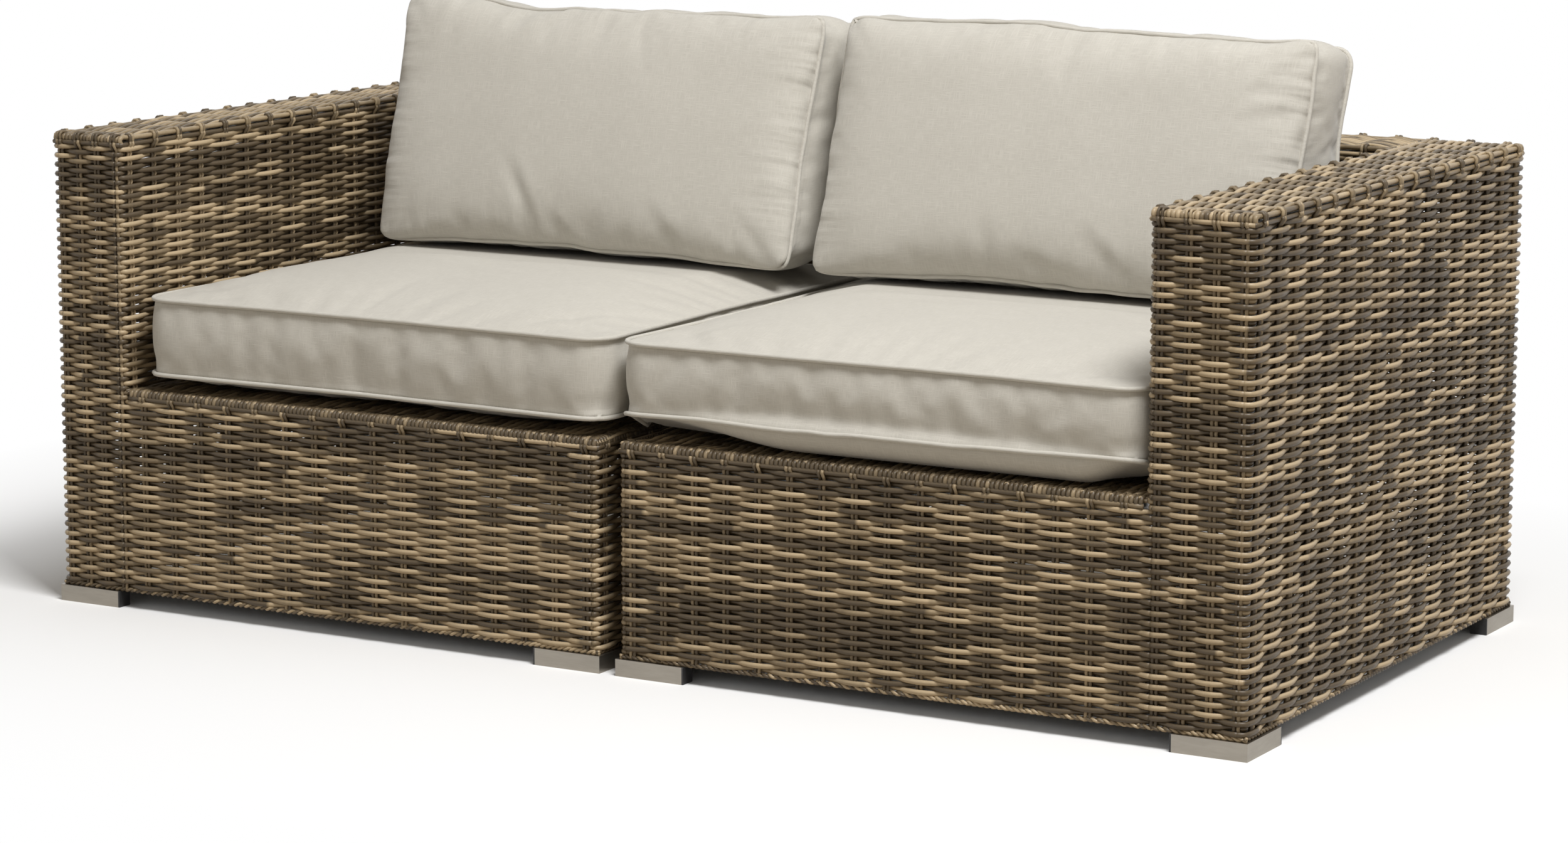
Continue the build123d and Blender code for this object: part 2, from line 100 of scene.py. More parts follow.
def object_place(tree):
    return add_node(tree, "TexCoord").outputs["Object"]


def new_material(name, color, roughness, metallic=0.0):
    """A material, its node tree and its Principled shader."""
    material = bpy.data.materials.new(name)
    material.use_nodes = True
    tree = material.node_tree
    shader = tree.nodes["Principled BSDF"]
    shader.inputs["Base Color"].default_value = (*color, 1.0)
    shader.inputs["Roughness"].default_value = roughness
    shader.inputs["Metallic"].default_value = metallic
    return material, tree, shader


def mottle_group():
    """Two noises of different size on one set of coordinates, mixed to a value from 0 to 1."""
    group = bpy.data.node_groups.new("mottle", "ShaderNodeTree")
    for name, kind in (("Vector", "Vector"), ("Broad", "Float"), ("Fine", "Float")):
        group.interface.new_socket(name, in_out="INPUT", socket_type="NodeSocket" + kind)
    group.interface.new_socket("Value", in_out="OUTPUT", socket_type="NodeSocketFloat")
    entry = group.nodes.new("NodeGroupInput").outputs
    broad, fine = (
        add_node(group, "TexNoise", {
            "Vector": entry["Vector"], "Scale": entry[scale], "Detail": detail,
        }).outputs["Fac"]
        for scale, detail in (("Broad", 2.0), ("Fine", 3.0))
    )
    mix = add_node(
        group, "Mix", {"Factor": fine_noise_share, "A": broad, "B": fine}, data_type="FLOAT"
    )
    leave = group.nodes.new("NodeGroupOutput")
    group.links.new(mix.outputs["Result"], leave.inputs["Value"])
    return group


mottle = mottle_group()


def add_mottle(tree, vector, broad, fine):
    """Places the mottle group, with its scales per metre."""
    inputs = {"Vector": vector, "Broad": broad, "Fine": fine}
    return add_node(tree, "Group", inputs, node_tree=mottle).outputs["Value"]


def add_range(tree, value, low, high, first=0.3, last=0.7):
    """Maps a value from first..last to low..high."""
    return add_node(tree, "MapRange", {
        "Value": value, "From Min": first, "From Max": last, "To Min": low, "To Max": high,
    }).outputs["Result"]


def add_bump(tree, above, height, depth, strength=1.0):
    """A bump of this real depth in metres on the normal of a shader or of another bump."""
    bump = add_node(tree, "Bump", {"Strength": strength, "Distance": depth, "Height": height})
    tree.links.new(bump.outputs["Normal"], above.inputs["Normal"])
    return bump


def add_tint(tree, shader, value, dark, light):
    """Base colour that runs from dark to light with a value."""
    colors = {"Factor": value, "A": (*dark, 1.0), "B": (*light, 1.0)}
    mix = add_node(tree, "Mix", colors, data_type="RGBA")
    tree.links.new(mix.outputs["Result"], shader.inputs["Base Color"])


def drawn_metal(name, color, roughness, grain):
    """Metal with brush or draw lines: a noise squeezed across the lines and long along them."""
    material, tree, shader = new_material(name, color, roughness, metallic=1.0)
    place = object_place(tree)
    drawn = add_node(tree, "Mapping", {"Vector": place, "Scale": grain}).outputs["Vector"]
    lines = add_mottle(tree, drawn, *line_scales)
    smudge = add_mottle(tree, place, *smudge_scales)
    dark = tuple(line_shade * c for c in color)
    add_tint(tree, shader, add_range(tree, lines, 0.0, 1.0), dark, color)
    rough = add_range(tree, smudge, *(roughness + change for change in smudge_roughness))
    tree.links.new(rough, shader.inputs["Roughness"])
    add_bump(tree, shader, lines, line_depth)
    return material


def finish_node(name, material):
    """Gives a carried-over node its material."""
    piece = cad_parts[name]
    piece.data.materials.clear()
    piece.data.materials.append(material)


tube_metal = drawn_metal("drawn_tube", tube_grey, tube_roughness, tube_grain)
for side in sides:
    for part in ("base_frame", "seat_bars", "arm_frame", "back_frame"):
        finish_node(f"{part}_{side}", tube_metal)


# The feet.
# Square aluminium tube mitred into an L and welded, brushed and anodised a warm pewter, with
# a plate inside the corner that a hexagon screw holds to the frame.

foot_pewter = (0.34, 0.31, 0.265)
foot_roughness = 0.36
foot_grain = (0.22, 0.22, 1.4)
screw_steel = (0.60, 0.60, 0.59)
screw_roughness = 0.3
even_grain = (1.0, 1.0, 1.0)

foot_metal = drawn_metal("brushed_pewter", foot_pewter, foot_roughness, foot_grain)
screw_metal = drawn_metal("plated_screw", screw_steel, screw_roughness, even_grain)
for side in sides:
    for corner in ("front_outer", "front_inner", "rear_outer", "rear_inner"):
        finish_node(f"foot_{corner}_{side}", foot_metal)
    finish_node(f"foot_screws_{side}", screw_metal)


# The black plugs in the ends of the feet, and the clips between the modules.
# Moulded polyethylene, pressed into the tube and pushed over the bottom rails, with the
# fine texture and dull scuffs of the mould.

plastic_black = (0.013, 0.013, 0.014)
plastic_worn = (0.034, 0.033, 0.033)
plastic_roughness = 0.5
scuff_scales = (40.0, 900.0)
scuff_roughness = (-0.08, 0.1)
scuff_depth = 0.00008


def moulded_plastic(name, dark, light, roughness):
    """Plastic with the texture of its mould: one mottle for its shade, gloss and grain."""
    material, tree, shader = new_material(name, light, roughness)
    scuff = add_mottle(tree, object_place(tree), *scuff_scales)
    add_tint(tree, shader, add_range(tree, scuff, 0.0, 1.0), dark, light)
    rough = add_range(tree, scuff, *(roughness + change for change in scuff_roughness))
    tree.links.new(rough, shader.inputs["Roughness"])
    add_bump(tree, shader, scuff, scuff_depth)
    return material


black_plastic = moulded_plastic("moulded_black", plastic_black, plastic_worn, plastic_roughness)
for name in ("foot_plugs_left", "foot_plugs_right", "front_module_clip", "rear_module_clip"):
    finish_node(name, black_plastic)


# The woven walls.
# Round polyethylene strands 5 mm thick in tans and grey-browns, woven by hand over pairs of
# thinner upright stakes: each strand passes in front of one pair and behind the next, and
# the next strand above does the reverse. A border strand closes each edge.

row_pitch = 0.0058
strand_half_depth = 0.0024
strand_half_height = 0.0031
crest_growth = 0.00025
strand_sides = 6
thin_sides = 5
weave_swing = 0.0036
wall_inset = 0.0065
corner_turn = 0.006
corner_bulge = 0.0030
corner_fade = 0.009
corner_shares = np.array([0.25, 0.5, 0.75])
past_corner = 0.0004

# Stake pairs: how many stand in each wall, their shape, and how finely strands follow them
side_spaces = 17
back_spaces = 17
arm_spaces = 4
base_spaces = 16
end_spaces = 3
rings_per_stake = 6
hidden_rings = 4
stake_radius = 0.0022
stake_spread = 0.0025
stake_swing = 0.0011
stake_foot = 0.001
stake_clearance = 0.0005
stake_fold = 0.0012

# Borders: a strand under each rim, a twisted pair at the foot, and wraps over the seat's rim
border_radius = 0.0029
border_height = 0.0050
border_out = 0.0012
border_step = 0.012
border_wobble = 0.0004
border_wobble_length = 0.03
rim_drop = 0.0145
rim_slack = 0.001
twist_height = 0.0028
twist_radius = 0.0019
twist_out = 0.0008
twist_reach = 0.8 * twist_radius
twist_length = 0.016
twist_rings = 6
wrap_drop = 0.0115
wrap_depth = 0.004
wrap_turn = 0.0062
wrap_lean = 0.001
wrap_half_width = 0.48 * row_pitch

# How far each kind of strand stays from the ends of its wall
edge_margin = 0.004
arm_border_margin = 0.005
twist_margin = 0.003
wrap_margin = 0.006
joint_margin = 0.002

weave_dark = (0.096, 0.070, 0.041)
weave_brown = (0.240, 0.180, 0.107)
weave_tan = (0.478, 0.370, 0.232)
weave_stops = ((0.22, weave_dark), (0.44, weave_dark), (0.66, weave_brown), (0.98, weave_tan))
weave_plain_roughness = 0.42
weave_roughness = (0.30, 0.46)
weave_gloss = 0.3
streak_scales = (140.0, 900.0)
streak_strength = 0.30
streak_depth = 0.00012
tone_length = 0.11
tone_shades = (0.12, 0.50, 0.86)
tone_slips = (3.6, 0.2)
tone_drift = 0.34
stake_tones = (0.10, 0.65)
stake_tone_step = 5.7
stake_tone_gap = 0.3
wrap_tone = 0.62
wrap_tone_step = 191.0
wrap_tone_power = 1.5
front_shift = {"left": -0.05, "right": -0.14}
front_fades = (0.05, 0.03)
noise_factors = (127.1, 311.7, 43758.5453)


def measure_module(side):
    """The sizes of one module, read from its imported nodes. Inward is the distance from the
    module's outer face, and places round the module start at its inner rear corner."""
    arm_low, arm_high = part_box(f"arm_top_weave_{side}")
    inner_low, inner_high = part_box(f"inner_side_weave_{side}")
    skin_low, skin_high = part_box(f"outer_side_weave_{side}")
    outer, inner = (arm_low.x, inner_high.x) if side == "left" else (arm_high.x, inner_low.x)
    return {
        "side": side, "sign": sides[side], "outer": outer, "width": abs(outer - inner),
        "arm": arm_high.x - arm_low.x, "skin": skin_high.x - skin_low.x,
        "front": arm_low.y, "rear": arm_high.y, "depth": arm_high.y - arm_low.y,
        "back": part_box(f"back_top_weave_{side}")[0].y,
        "floor": inner_low.z, "rim": inner_high.z, "top": arm_high.z,
    }


def to_world(module, inward, depth, height):
    """Stacks inward, depth and height into points of the frame."""
    x = module["outer"] - module["sign"] * inward
    return np.stack(np.broadcast_arrays(x, depth, height), axis=-1).astype(float)


def ease(share):
    """A smooth step from 0 to 1: three squares less two cubes."""
    return share * share * (3 - 2 * share)


def hash_noise(place, seed):
    """Smooth noise from 0 to 1: random numbers at whole places, joined by smooth steps. The
    random number is the fraction of a large sine."""
    cell = np.floor(place)
    share = ease(place - cell)
    spread, seeded, large = noise_factors

    def pick(c):
        return np.mod(np.sin(c * spread + seed * seeded) * large, 1.0)

    return pick(cell) * (1 - share) + pick(cell + 1) * share


def strand_tone(along, row, seed):
    """How light a strand is, 0 to 1. Three shades follow one another from row to row, the
    order slips now and then along the run, and each strand drifts a little. The odd numbers
    only keep the noise of one row apart from the next."""
    steps, bias = tone_slips
    slip = np.floor(steps * hash_noise(along / (4 * tone_length), 2.0 * row + seed) + bias)
    shade = np.mod(2 * np.floor(row) + slip, 3)
    base = np.choose(shade.astype(int), tone_shades)
    drift = hash_noise(along / tone_length + row * 7.31, row * 1.7 + seed) - 0.5
    return np.clip(base + tone_drift * drift, 0.0, 1.0)


def stake_tone(mark, seed):
    low, reach = stake_tones
    return low + reach * hash_noise(mark, seed)


def add_object(name, data):
    piece = bpy.data.objects.new(name, data)
    scene.collection.objects.link(piece)
    return piece


class Tubes:
    """Gathers round strands and turns them into one mesh."""

    def __init__(self):
        self.points, self.quads, self.caps, self.tones = [], [], [], []
        self.count = 0

    def add(self, centre, out, half_out, half_up, tone, sides=strand_sides):
        """Strands whose centres are rings of points, shape (strands, rings, 3). Each ring is
        an ellipse: centre + out * half_out * cos + up * half_up * sin, where up stands
        square to both out and the strand's own direction."""
        along = np.gradient(centre, axis=1)
        along /= np.linalg.norm(along, axis=-1, keepdims=True)
        out = np.broadcast_to(out, centre.shape)
        out = out - along * np.sum(out * along, axis=-1, keepdims=True)
        out = out / np.linalg.norm(out, axis=-1, keepdims=True)
        up = np.cross(along, out)
        angle = 2 * math.pi * np.arange(sides) / sides
        half_out = np.broadcast_to(half_out, centre.shape[:2])[..., None, None]
        half_up = np.broadcast_to(half_up, centre.shape[:2])[..., None, None]
        points = (
            centre[:, :, None, :]
            + out[:, :, None, :] * half_out * np.cos(angle)[:, None]
            + up[:, :, None, :] * half_up * np.sin(angle)[:, None]
        )
        strands, rings = centre.shape[:2]
        index = self.count + np.arange(strands * rings * sides).reshape(strands, rings, sides)
        turned = np.roll(index, -1, axis=2)
        quads = np.stack(
            [index[:, :-1], turned[:, :-1], turned[:, 1:], index[:, 1:]], axis=-1
        )
        self.points.append(points.reshape(-1, 3))
        self.quads.append(quads.reshape(-1, 4))
        self.caps.append(index[:, 0, ::-1].reshape(-1, sides))
        self.caps.append(index[:, -1].reshape(-1, sides))
        tone = np.broadcast_to(tone, centre.shape[:2])
        self.tones.append(np.repeat(tone.reshape(-1), sides))
        self.count += strands * rings * sides

    def build(self, name, material, replaced, body="sofa"):
        """One piece of all the strands, with their tones as an attribute of its points."""
        groups = [np.concatenate(self.quads)] + self.caps
        loops = np.concatenate([g.reshape(-1) for g in groups]).astype(np.int32)
        totals = np.concatenate([np.full(len(g), g.shape[1]) for g in groups]).astype(np.int32)
        starts = np.concatenate([[0], np.cumsum(totals)[:-1]]).astype(np.int32)
        mesh = bpy.data.meshes.new(name)
        mesh.vertices.add(self.count)
        mesh.loops.add(len(loops))
        mesh.polygons.add(len(totals))
        mesh.vertices.foreach_set("co", np.concatenate(self.points).astype(np.float32).ravel())
        mesh.loops.foreach_set("vertex_index", loops)
        mesh.polygons.foreach_set("loop_start", starts)
        mesh.polygons.foreach_set("loop_total", totals)
        mesh.polygons.foreach_set("use_smooth", np.ones(len(totals), bool))
        mesh.update(calc_edges=True)
        tone = mesh.attributes.new("tone", "FLOAT", "POINT")
        tone.data.foreach_set("value", np.concatenate(self.tones).astype(np.float32))
        mesh.materials.append(material)
        piece = add_object(name, mesh)
        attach(piece, body)
        if replaced:
            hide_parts(*replaced)


def wicker_material():
    """Strand colour from the tone attribute, with faint streaks, dust and a satin gloss."""
    material, tree, shader = new_material("round_wicker", weave_brown, weave_plain_roughness)
    tone = add_node(tree, "Attribute", attribute_name="tone").outputs["Fac"]
    streak = add_mottle(tree, object_place(tree), *streak_scales)
    shade = add_math(tree, "MULTIPLY_ADD", streak, streak_strength, tone)
    ramp = add_node(tree, "ValToRGB", {"Fac": shade})
    elements = ramp.color_ramp.elements
    while len(elements) < len(weave_stops):
        elements.new(0.5)
    for element, (position, color) in zip(elements, weave_stops):
        element.position = position
        element.color = (*color, 1.0)
    tree.links.new(ramp.outputs["Color"], shader.inputs["Base Color"])
    tree.links.new(add_range(tree, streak, *weave_roughness), shader.inputs["Roughness"])
    shader.inputs["Specular IOR Level"].default_value = weave_gloss
    add_bump(tree, shader, streak, streak_depth)
    return material


wicker = wicker_material()


def wall_face(module, start, run, out, marks, offset=0.0, rings=rings_per_stake):
    """One straight face in plan. start is its first corner as inward and depth, run and out
    are its direction and outward direction, and marks pairs distances along it with how
    many stake spaces come before them. offset is how far round the module it starts, and
    rings how finely its strands are cut in each stake space."""
    distances, counts = zip(*marks)
    return {
        "module": module, "start": np.array(start), "run": np.array(run, float),
        "out": np.array(out, float), "distances": distances, "counts": counts,
        "length": distances[-1], "offset": offset, "rings": rings,
    }


def row_heights(module, rows):
    return module["floor"] + border_height + (rows + 0.5) * row_pitch


def swing_at(face, along, row):
    """How far a strand stands out from the middle of the wall: a sine that crests at each
    stake pair, turned over from row to row, and a steady bulge at the corners."""
    stakes = np.interp(along, face["distances"], face["counts"])
    wave = np.sin(math.pi * (stakes + row))
    edge = np.minimum(along, face["length"] - along) - wall_inset
    fade = ease(np.clip(edge / corner_fade, 0.0, 1.0))
    return weave_swing * wave * fade + corner_bulge * (1 - fade), wave * fade


def straight_rings(face, start, stop):
    """Distances of a strand's rings between two points of a face, even in stake spaces."""
    marks = np.interp((start, stop), face["distances"], face["counts"])
    steps = max(1, int(round(abs(marks[1] - marks[0]) * face["rings"])))
    counts = np.linspace(marks[0], marks[1], steps + 1)
    return np.interp(counts, face["counts"], face["distances"])


def face_points(face, along, height, swing):
    """Points on a face, this far along it and standing out by the swing."""
    plan = (
        face["start"]
        + face["run"] * along[..., None]
        + face["out"] * (swing - wall_inset)[..., None]
    )
    return to_world(face["module"], plan[..., 0], plan[..., 1], height)


def out_direction(face, shape):
    sign = -face["module"]["sign"]
    return np.broadcast_to([sign * face["out"][0], face["out"][1], 0.0], (*shape, 3))


def straight_strands(face, start, stop, rows):
    """Strands along a face: their points, outward directions, waves and places round the
    module."""
    along = straight_rings(face, start, stop)[None, :] + np.zeros((len(rows), 1))
    swing, wave = swing_at(face, along, rows[:, None])
    points = face_points(face, along, row_heights(face["module"], rows)[:, None], swing)
    return points, out_direction(face, along.shape), wave, face["offset"] + along


def corner_strands(face, stop, after, start, rows):
    """The same strands on the arc that joins one face to the next: each turns about the
    corner's hub while its swing passes from that of the first face to that of the next."""
    module = face["module"]
    corner = face["start"] + face["run"] * face["length"]
    hub = corner - (wall_inset + corner_turn) * (face["out"] + after["out"])
    turn = corner_shares * math.pi / 2
    way = np.cos(turn)[:, None] * face["out"] + np.sin(turn)[:, None] * after["out"]
    before_turn = swing_at(face, np.array([[stop]]), rows[:, None])[0]
    after_turn = swing_at(after, np.array([[start]]), rows[:, None])[0]
    bulge = corner_turn + before_turn + (after_turn - before_turn) * corner_shares
    plan = hub + way * bulge[..., None]
    arc = to_world(module, plan[..., 0], plan[..., 1], row_heights(module, rows)[:, None])
    out = np.stack([-module["sign"] * way[:, 0], way[:, 1], 0 * way[:, 0]], axis=-1)
    places = face["offset"] + stop + 2 * corner_turn * corner_shares
    still = np.zeros(arc.shape[:2])
    return arc, np.broadcast_to(out, arc.shape), still, places + still


def wall_rows(tubes, stretches, rows, seed):
    """Strands of these rows along stretches of faces, each (face, start, stop). Where two
    stretches meet, the strand turns the corner. The front of each arm is woven of darker
    strands, which fade in and out beside it."""
    parts = []
    for number, (face, start, stop) in enumerate(stretches):
        parts.append(straight_strands(face, start, stop, rows))
        if number + 1 < len(stretches):
            parts.append(corner_strands(face, stop, *stretches[number + 1][:2], rows))
    points, outs, wave, along = (np.concatenate(part, axis=1) for part in zip(*parts))
    module = stretches[0][0]["module"]
    before, after = front_fades
    front_places = module["width"] + module["depth"] + np.array(
        [-before, 0.0, module["arm"], module["arm"] + after]
    )
    shift = front_shift[module["side"]]
    tone = strand_tone(along, rows[:, None].astype(float), seed)
    tone = np.clip(tone + np.interp(along, front_places, (0.0, shift, shift, 0.0)), 0.0, 1.0)
    growth = crest_growth * wave
    tubes.add(points, outs, strand_half_depth + growth, strand_half_height + growth, tone)


def wall_stakes(tubes, face, start, stop, rows, over_border, seed):
    """Pairs of upright stakes that pass behind each strand's crest and in front of the
    strands between, and over the border strand at the top."""
    first, last = np.interp((start, stop), face["distances"], face["counts"])
    numbers = np.arange(math.ceil(first - 0.5), math.floor(last - 0.5) + 1)
    places = np.interp(numbers + 0.5, face["counts"], face["distances"])
    if not len(places):
        return
    module = face["module"]
    height = np.concatenate([[module["floor"] + stake_foot], row_heights(module, rows)])
    swing = -stake_swing * np.sin(math.pi * (numbers[:, None] + 0.5 + rows[None, :]))
    swing = np.concatenate([np.full((len(numbers), 1), stake_foot), swing], axis=1)
    if over_border:
        top = height[-1] + row_pitch / 2 + border_radius
        out = border_radius + stake_radius + stake_clearance
        over = np.broadcast_to([out, out - stake_fold], (len(numbers), 2))
        height = np.concatenate([height, [top, top + border_radius]])
        swing = np.concatenate([swing, over], axis=1)
    for offset in (-stake_spread, stake_spread):
        along = places[:, None] + offset + np.zeros_like(swing)
        centre = face_points(face, along, height[None, :], swing)
        mark = numbers + (stake_tone_gap if offset > 0 else 0.0)
        tone = stake_tone(mark * stake_tone_step, seed + 40.0)[:, None]
        out = out_direction(face, swing.shape)
        tubes.add(centre, out, stake_radius, stake_radius, tone, thin_sides)


def border_strand(tubes, face, start, stop, height, seed):
    """A plain strand along an edge of the wall."""
    along = np.linspace(start, stop, max(2, int((stop - start) / border_step)))[None, :]
    wobble = border_wobble * (hash_noise(along / border_wobble_length, seed) - 0.5)
    centre = face_points(face, along, height + wobble, border_out + 0 * along)
    out = out_direction(face, along.shape)
    tubes.add(centre, out, border_radius, border_radius, strand_tone(along, 3.0, seed))


def twisted_border(tubes, face, start, stop, seed):
    """Two thin strands twisted round each other along the foot of the wall: their centres
    follow a helix of twist_reach, half a turn apart."""
    height = face["module"]["floor"] + twist_height
    count = max(3, int((stop - start) / twist_length * twist_rings))
    along = np.linspace(start, stop, count)[None, :]
    for phase in (0.0, math.pi):
        turn = 2 * math.pi * along / twist_length + phase
        swing = twist_out + twist_reach * np.cos(turn)
        centre = face_points(face, along, height + twist_reach * np.sin(turn), swing)
        out = out_direction(face, along.shape)
        tone = strand_tone(along, phase, seed)
        tubes.add(centre, out, twist_radius, twist_radius, tone, thin_sides)


def rim_wraps(tubes, face, start, stop, seed):
    """Short strands side by side that come up the face and turn in over the seat's rim, on a
    quarter circle."""
    top = face["module"]["rim"]
    count = int(round((stop - start) / row_pitch))
    along = start + (np.arange(count) + 0.5) * (stop - start) / count
    base = top - strand_half_depth - wrap_turn
    arc = np.linspace(0.0, math.pi / 2, 5)[1:]
    swing = np.concatenate([[0.0, wrap_lean], wrap_lean + wrap_turn * (np.cos(arc) - 1)])
    height = np.concatenate([[top - wrap_drop, base], base + wrap_turn * np.sin(arc)])
    swing = np.append(swing, swing[-1] - wrap_depth)
    height = np.append(height, height[-1])
    spread = np.zeros((count, len(swing)))
    centre = face_points(face, along[:, None] + spread, height[None, :], swing[None, :] + spread)
    side_way = [-face["module"]["sign"] * face["run"][0], face["run"][1], 0.0]
    side_way = np.broadcast_to(side_way, centre.shape)
    tone = wrap_tone * hash_noise(along * wrap_tone_step, seed)[:, None] ** wrap_tone_power
    tubes.add(centre, side_way, wrap_half_width, strand_half_depth, tone)


def module_faces(module):
    """The faces of the lower and upper walls in plan. Stake pairs are closest on the front
    of the arm and widest on the outer side, and line up over the arm and the back."""
    arm, width, depth = module["arm"], module["width"], module["depth"]
    front, rear, back = module["front"], module["rear"], module["back"]
    reach = back - front
    to_inner, to_outer, to_front, to_rear = (1, 0), (-1, 0), (0, -1), (0, 1)
    across_front = ((0, 0), (arm, arm_spaces), (width, arm_spaces + base_spaces))
    return {
        "front": wall_face(
            module, (0, front), to_inner, to_front, across_front, width + depth
        ),
        "arm_front": wall_face(
            module, (0, front), to_inner, to_front, across_front[:2], width + depth
        ),
        "inner": wall_face(
            module, (width, front), to_rear, to_inner, ((0, 0), (depth, side_spaces)),
            2 * width + depth, hidden_rings,
        ),
        "rear": wall_face(
            module, (width, rear), to_outer, to_rear, ((0, 0), (width, back_spaces))
        ),
        "outer": wall_face(
            module, (0, rear), to_front, to_outer, ((0, 0), (depth, side_spaces)), width
        ),
        "arm_inner": wall_face(
            module, (arm, front), to_rear, to_inner,
            ((0, 0), (reach, reach / (depth / side_spaces))), width + depth + arm,
        ),
        "back_inner": wall_face(
            module, (arm, back), to_inner, to_front,
            ((0, arm * back_spaces / width), (width - arm, back_spaces)), rings=hidden_rings,
        ),
        "back_end": wall_face(
            module, (width, back), to_rear, to_inner, ((0, 0), (rear - back, end_spaces)),
            width - arm,
        ),
    }


def weave_wall(side, part, number, seed, rows, stakes, border, twist=(), wraps=()):
    """One woven wall. rows are its stretches with the rows on them, stakes their stretch,
    rows and whether they pass over the border, and border, twist and wraps the stretch of
    each edge that is closed that way."""
    tubes = Tubes()
    for stretches, courses in rows:
        wall_rows(tubes, stretches, courses, seed)
    for stake_run in stakes:
        wall_stakes(tubes, *stake_run, seed + number)
    border_strand(tubes, *border, seed)
    if twist:
        twisted_border(tubes, *twist, seed + number + 4)
    if wraps:
        rim_wraps(tubes, *wraps, seed + number)
    tubes.build(f"{part}_strands_{side}", wicker, [f"{part}_weave_{side}"])


def weave_walls(module, seed):
    """The walls of a module in turn. Low rows reach the seat's rim, rising rows the height of
    the seat behind it, and upper and high rows go on from there to the top."""
    arm, width, skin, depth = (module[key] for key in ("arm", "width", "skin", "depth"))
    faces = module_faces(module)
    front, outer, rear, inner = (faces[key] for key in ("front", "outer", "rear", "inner"))
    arm_front, arm_inner = faces["arm_front"], faces["arm_inner"]
    back_inner, back_end = faces["back_inner"], faces["back_end"]
    row_base = module["floor"] + border_height

    def rows_below(height):
        return int((height - row_base) / row_pitch)

    low_count = rows_below(module["rim"] - rim_drop)
    rim_count = rows_below(module["rim"])
    all_count = rows_below(module["top"] - rim_drop - rim_slack)
    low, to_rim, full = (np.arange(count) for count in (low_count, rim_count, all_count))
    rising = np.arange(low_count, rim_count)
    upper = np.arange(rim_count, all_count)
    high = np.arange(low_count, all_count)
    low_border = row_base + low_count * row_pitch + border_radius
    high_border = row_base + all_count * row_pitch + border_radius

    turn = wall_inset + corner_turn
    back_run = module["rear"] - module["back"]
    reach = depth - back_run
    span = width - arm
    past_front = (front, turn, turn + past_corner)
    past_rear = (rear, turn, turn + past_corner)
    margin = edge_margin
    walls = {
        "outer_side": {
            "rows": [([(rear, width - skin, width - turn), (outer, turn, depth - turn),
                       past_front], full)],
            "stakes": [(outer, turn, depth - turn, full, True)],
            "border": (outer, margin, depth - margin, high_border),
            "twist": (outer, twist_margin, depth - twist_margin),
        },
        "arm_front": {
            "rows": [([(front, skin, arm - skin)], low), ([(arm_front, skin, arm - skin)], high)],
            "stakes": [(arm_front, margin, arm - margin, full, True)],
            "border": (arm_front, arm_border_margin, arm - arm_border_margin, high_border),
            "twist": (front, twist_margin, arm),
        },
        "base_front": {
            "rows": [([(front, arm - skin, width - skin)], low)],
            "stakes": [(front, arm, width, low, True)],
            "border": (front, arm, width - margin, low_border),
            "twist": (front, arm, width - twist_margin),
            "wraps": (front, arm, width - wrap_margin),
        },
        "inner_side": {
            "rows": [
                ([(front, width - skin, width - turn), (inner, turn, depth - turn), past_rear],
                 low),
                ([(inner, reach, depth - turn), past_rear], rising),
            ],
            "stakes": [(inner, turn, reach, low, True), (inner, reach, depth, to_rim, False)],
            "border": (inner, margin, reach, low_border),
            "twist": (inner, twist_margin, depth - twist_margin),
            "wraps": (inner, wrap_margin, reach),
        },
        "back_outer": {
            "rows": [([(rear, skin, width - skin)], full)],
            "stakes": [(rear, margin, width - margin, full, True)],
            "border": (rear, margin, width - margin, high_border),
            "twist": (rear, twist_margin, width - twist_margin),
        },
        "back_end": {
            "rows": [([(back_inner, span - skin, span - turn),
                       (back_end, turn, back_run - turn), past_rear], upper)],
            "stakes": [(back_end, margin, back_run, upper, True)],
            "border": (back_end, margin, back_run - margin, high_border),
        },
        "back_inner": {
            "rows": [([(back_inner, joint_margin, span - skin)], upper)],
            "stakes": [(back_inner, margin, span, upper, True)],
            "border": (back_inner, joint_margin, span - margin, high_border),
        },
        "arm_inner": {
            "rows": [([(arm_front, arm - skin, arm - turn),
                       (arm_inner, turn, reach - joint_margin)], high)],
            "stakes": [(arm_inner, turn, reach, high, True)],
            "border": (arm_inner, margin, reach, high_border),
        },
    }
    for number, (part, wall) in enumerate(walls.items(), 1):
        weave_wall(module["side"], part, number, seed, **wall)


modules = {side: measure_module(side) for side in sides}
for number, module in enumerate(modules.values()):
    weave_walls(module, 60.0 * number)


# The woven tops and the seat deck.
# Strands lie side by side along the arms and the back and turn down over the rims, with the
# stake pairs of the walls carried across them. The seat deck is woven the same way, flat.

rim_radius = 0.0031
rim_inset = 0.0061
top_inset = 0.0065
top_swing = 0.0033
top_margin = 0.0095
top_turn = 0.0125
back_overlap = 0.0035
top_tone = (0.30, 0.55)
edge_rings = 3
hook_radius = 0.0018
hook_tone_step = 97.0
top_tone_gap = 1.7
deck_inset = 0.0046
deck_swing = 0.0017
deck_half_height = 0.0022
deck_margins = {"arm": 0.010, "inner": 0.004, "front": 0.007, "back": 0.002}
deck_stakes = (0.3, 14.6)
deck_pairs = 14

# Turns over a rim, each point as its inset from the edge and its drop from the top
rim_arc = (
    (0.0104, 0.0150), (0.0080, 0.0120), (0.0063, 0.0090), (0.0071, 0.0062), (0.0098, 0.0048),
)
stake_arc = (
    (0.0027, 0.0120), (0.0017, 0.0082), (0.0017, 0.0048), (0.0038, 0.0022), (0.0074, 0.0017),
)
hook_dive = ((0.0130, 0.0022), (0.0190, 0.0048), (0.0240, 0.0090))


def lay(module, way, main, cross, height):
    """Points of a flat panel. way says whether main runs in depth or inward."""
    if way == "depth":
        return to_world(module, cross, main, height)
    return to_world(module, main, cross, height)


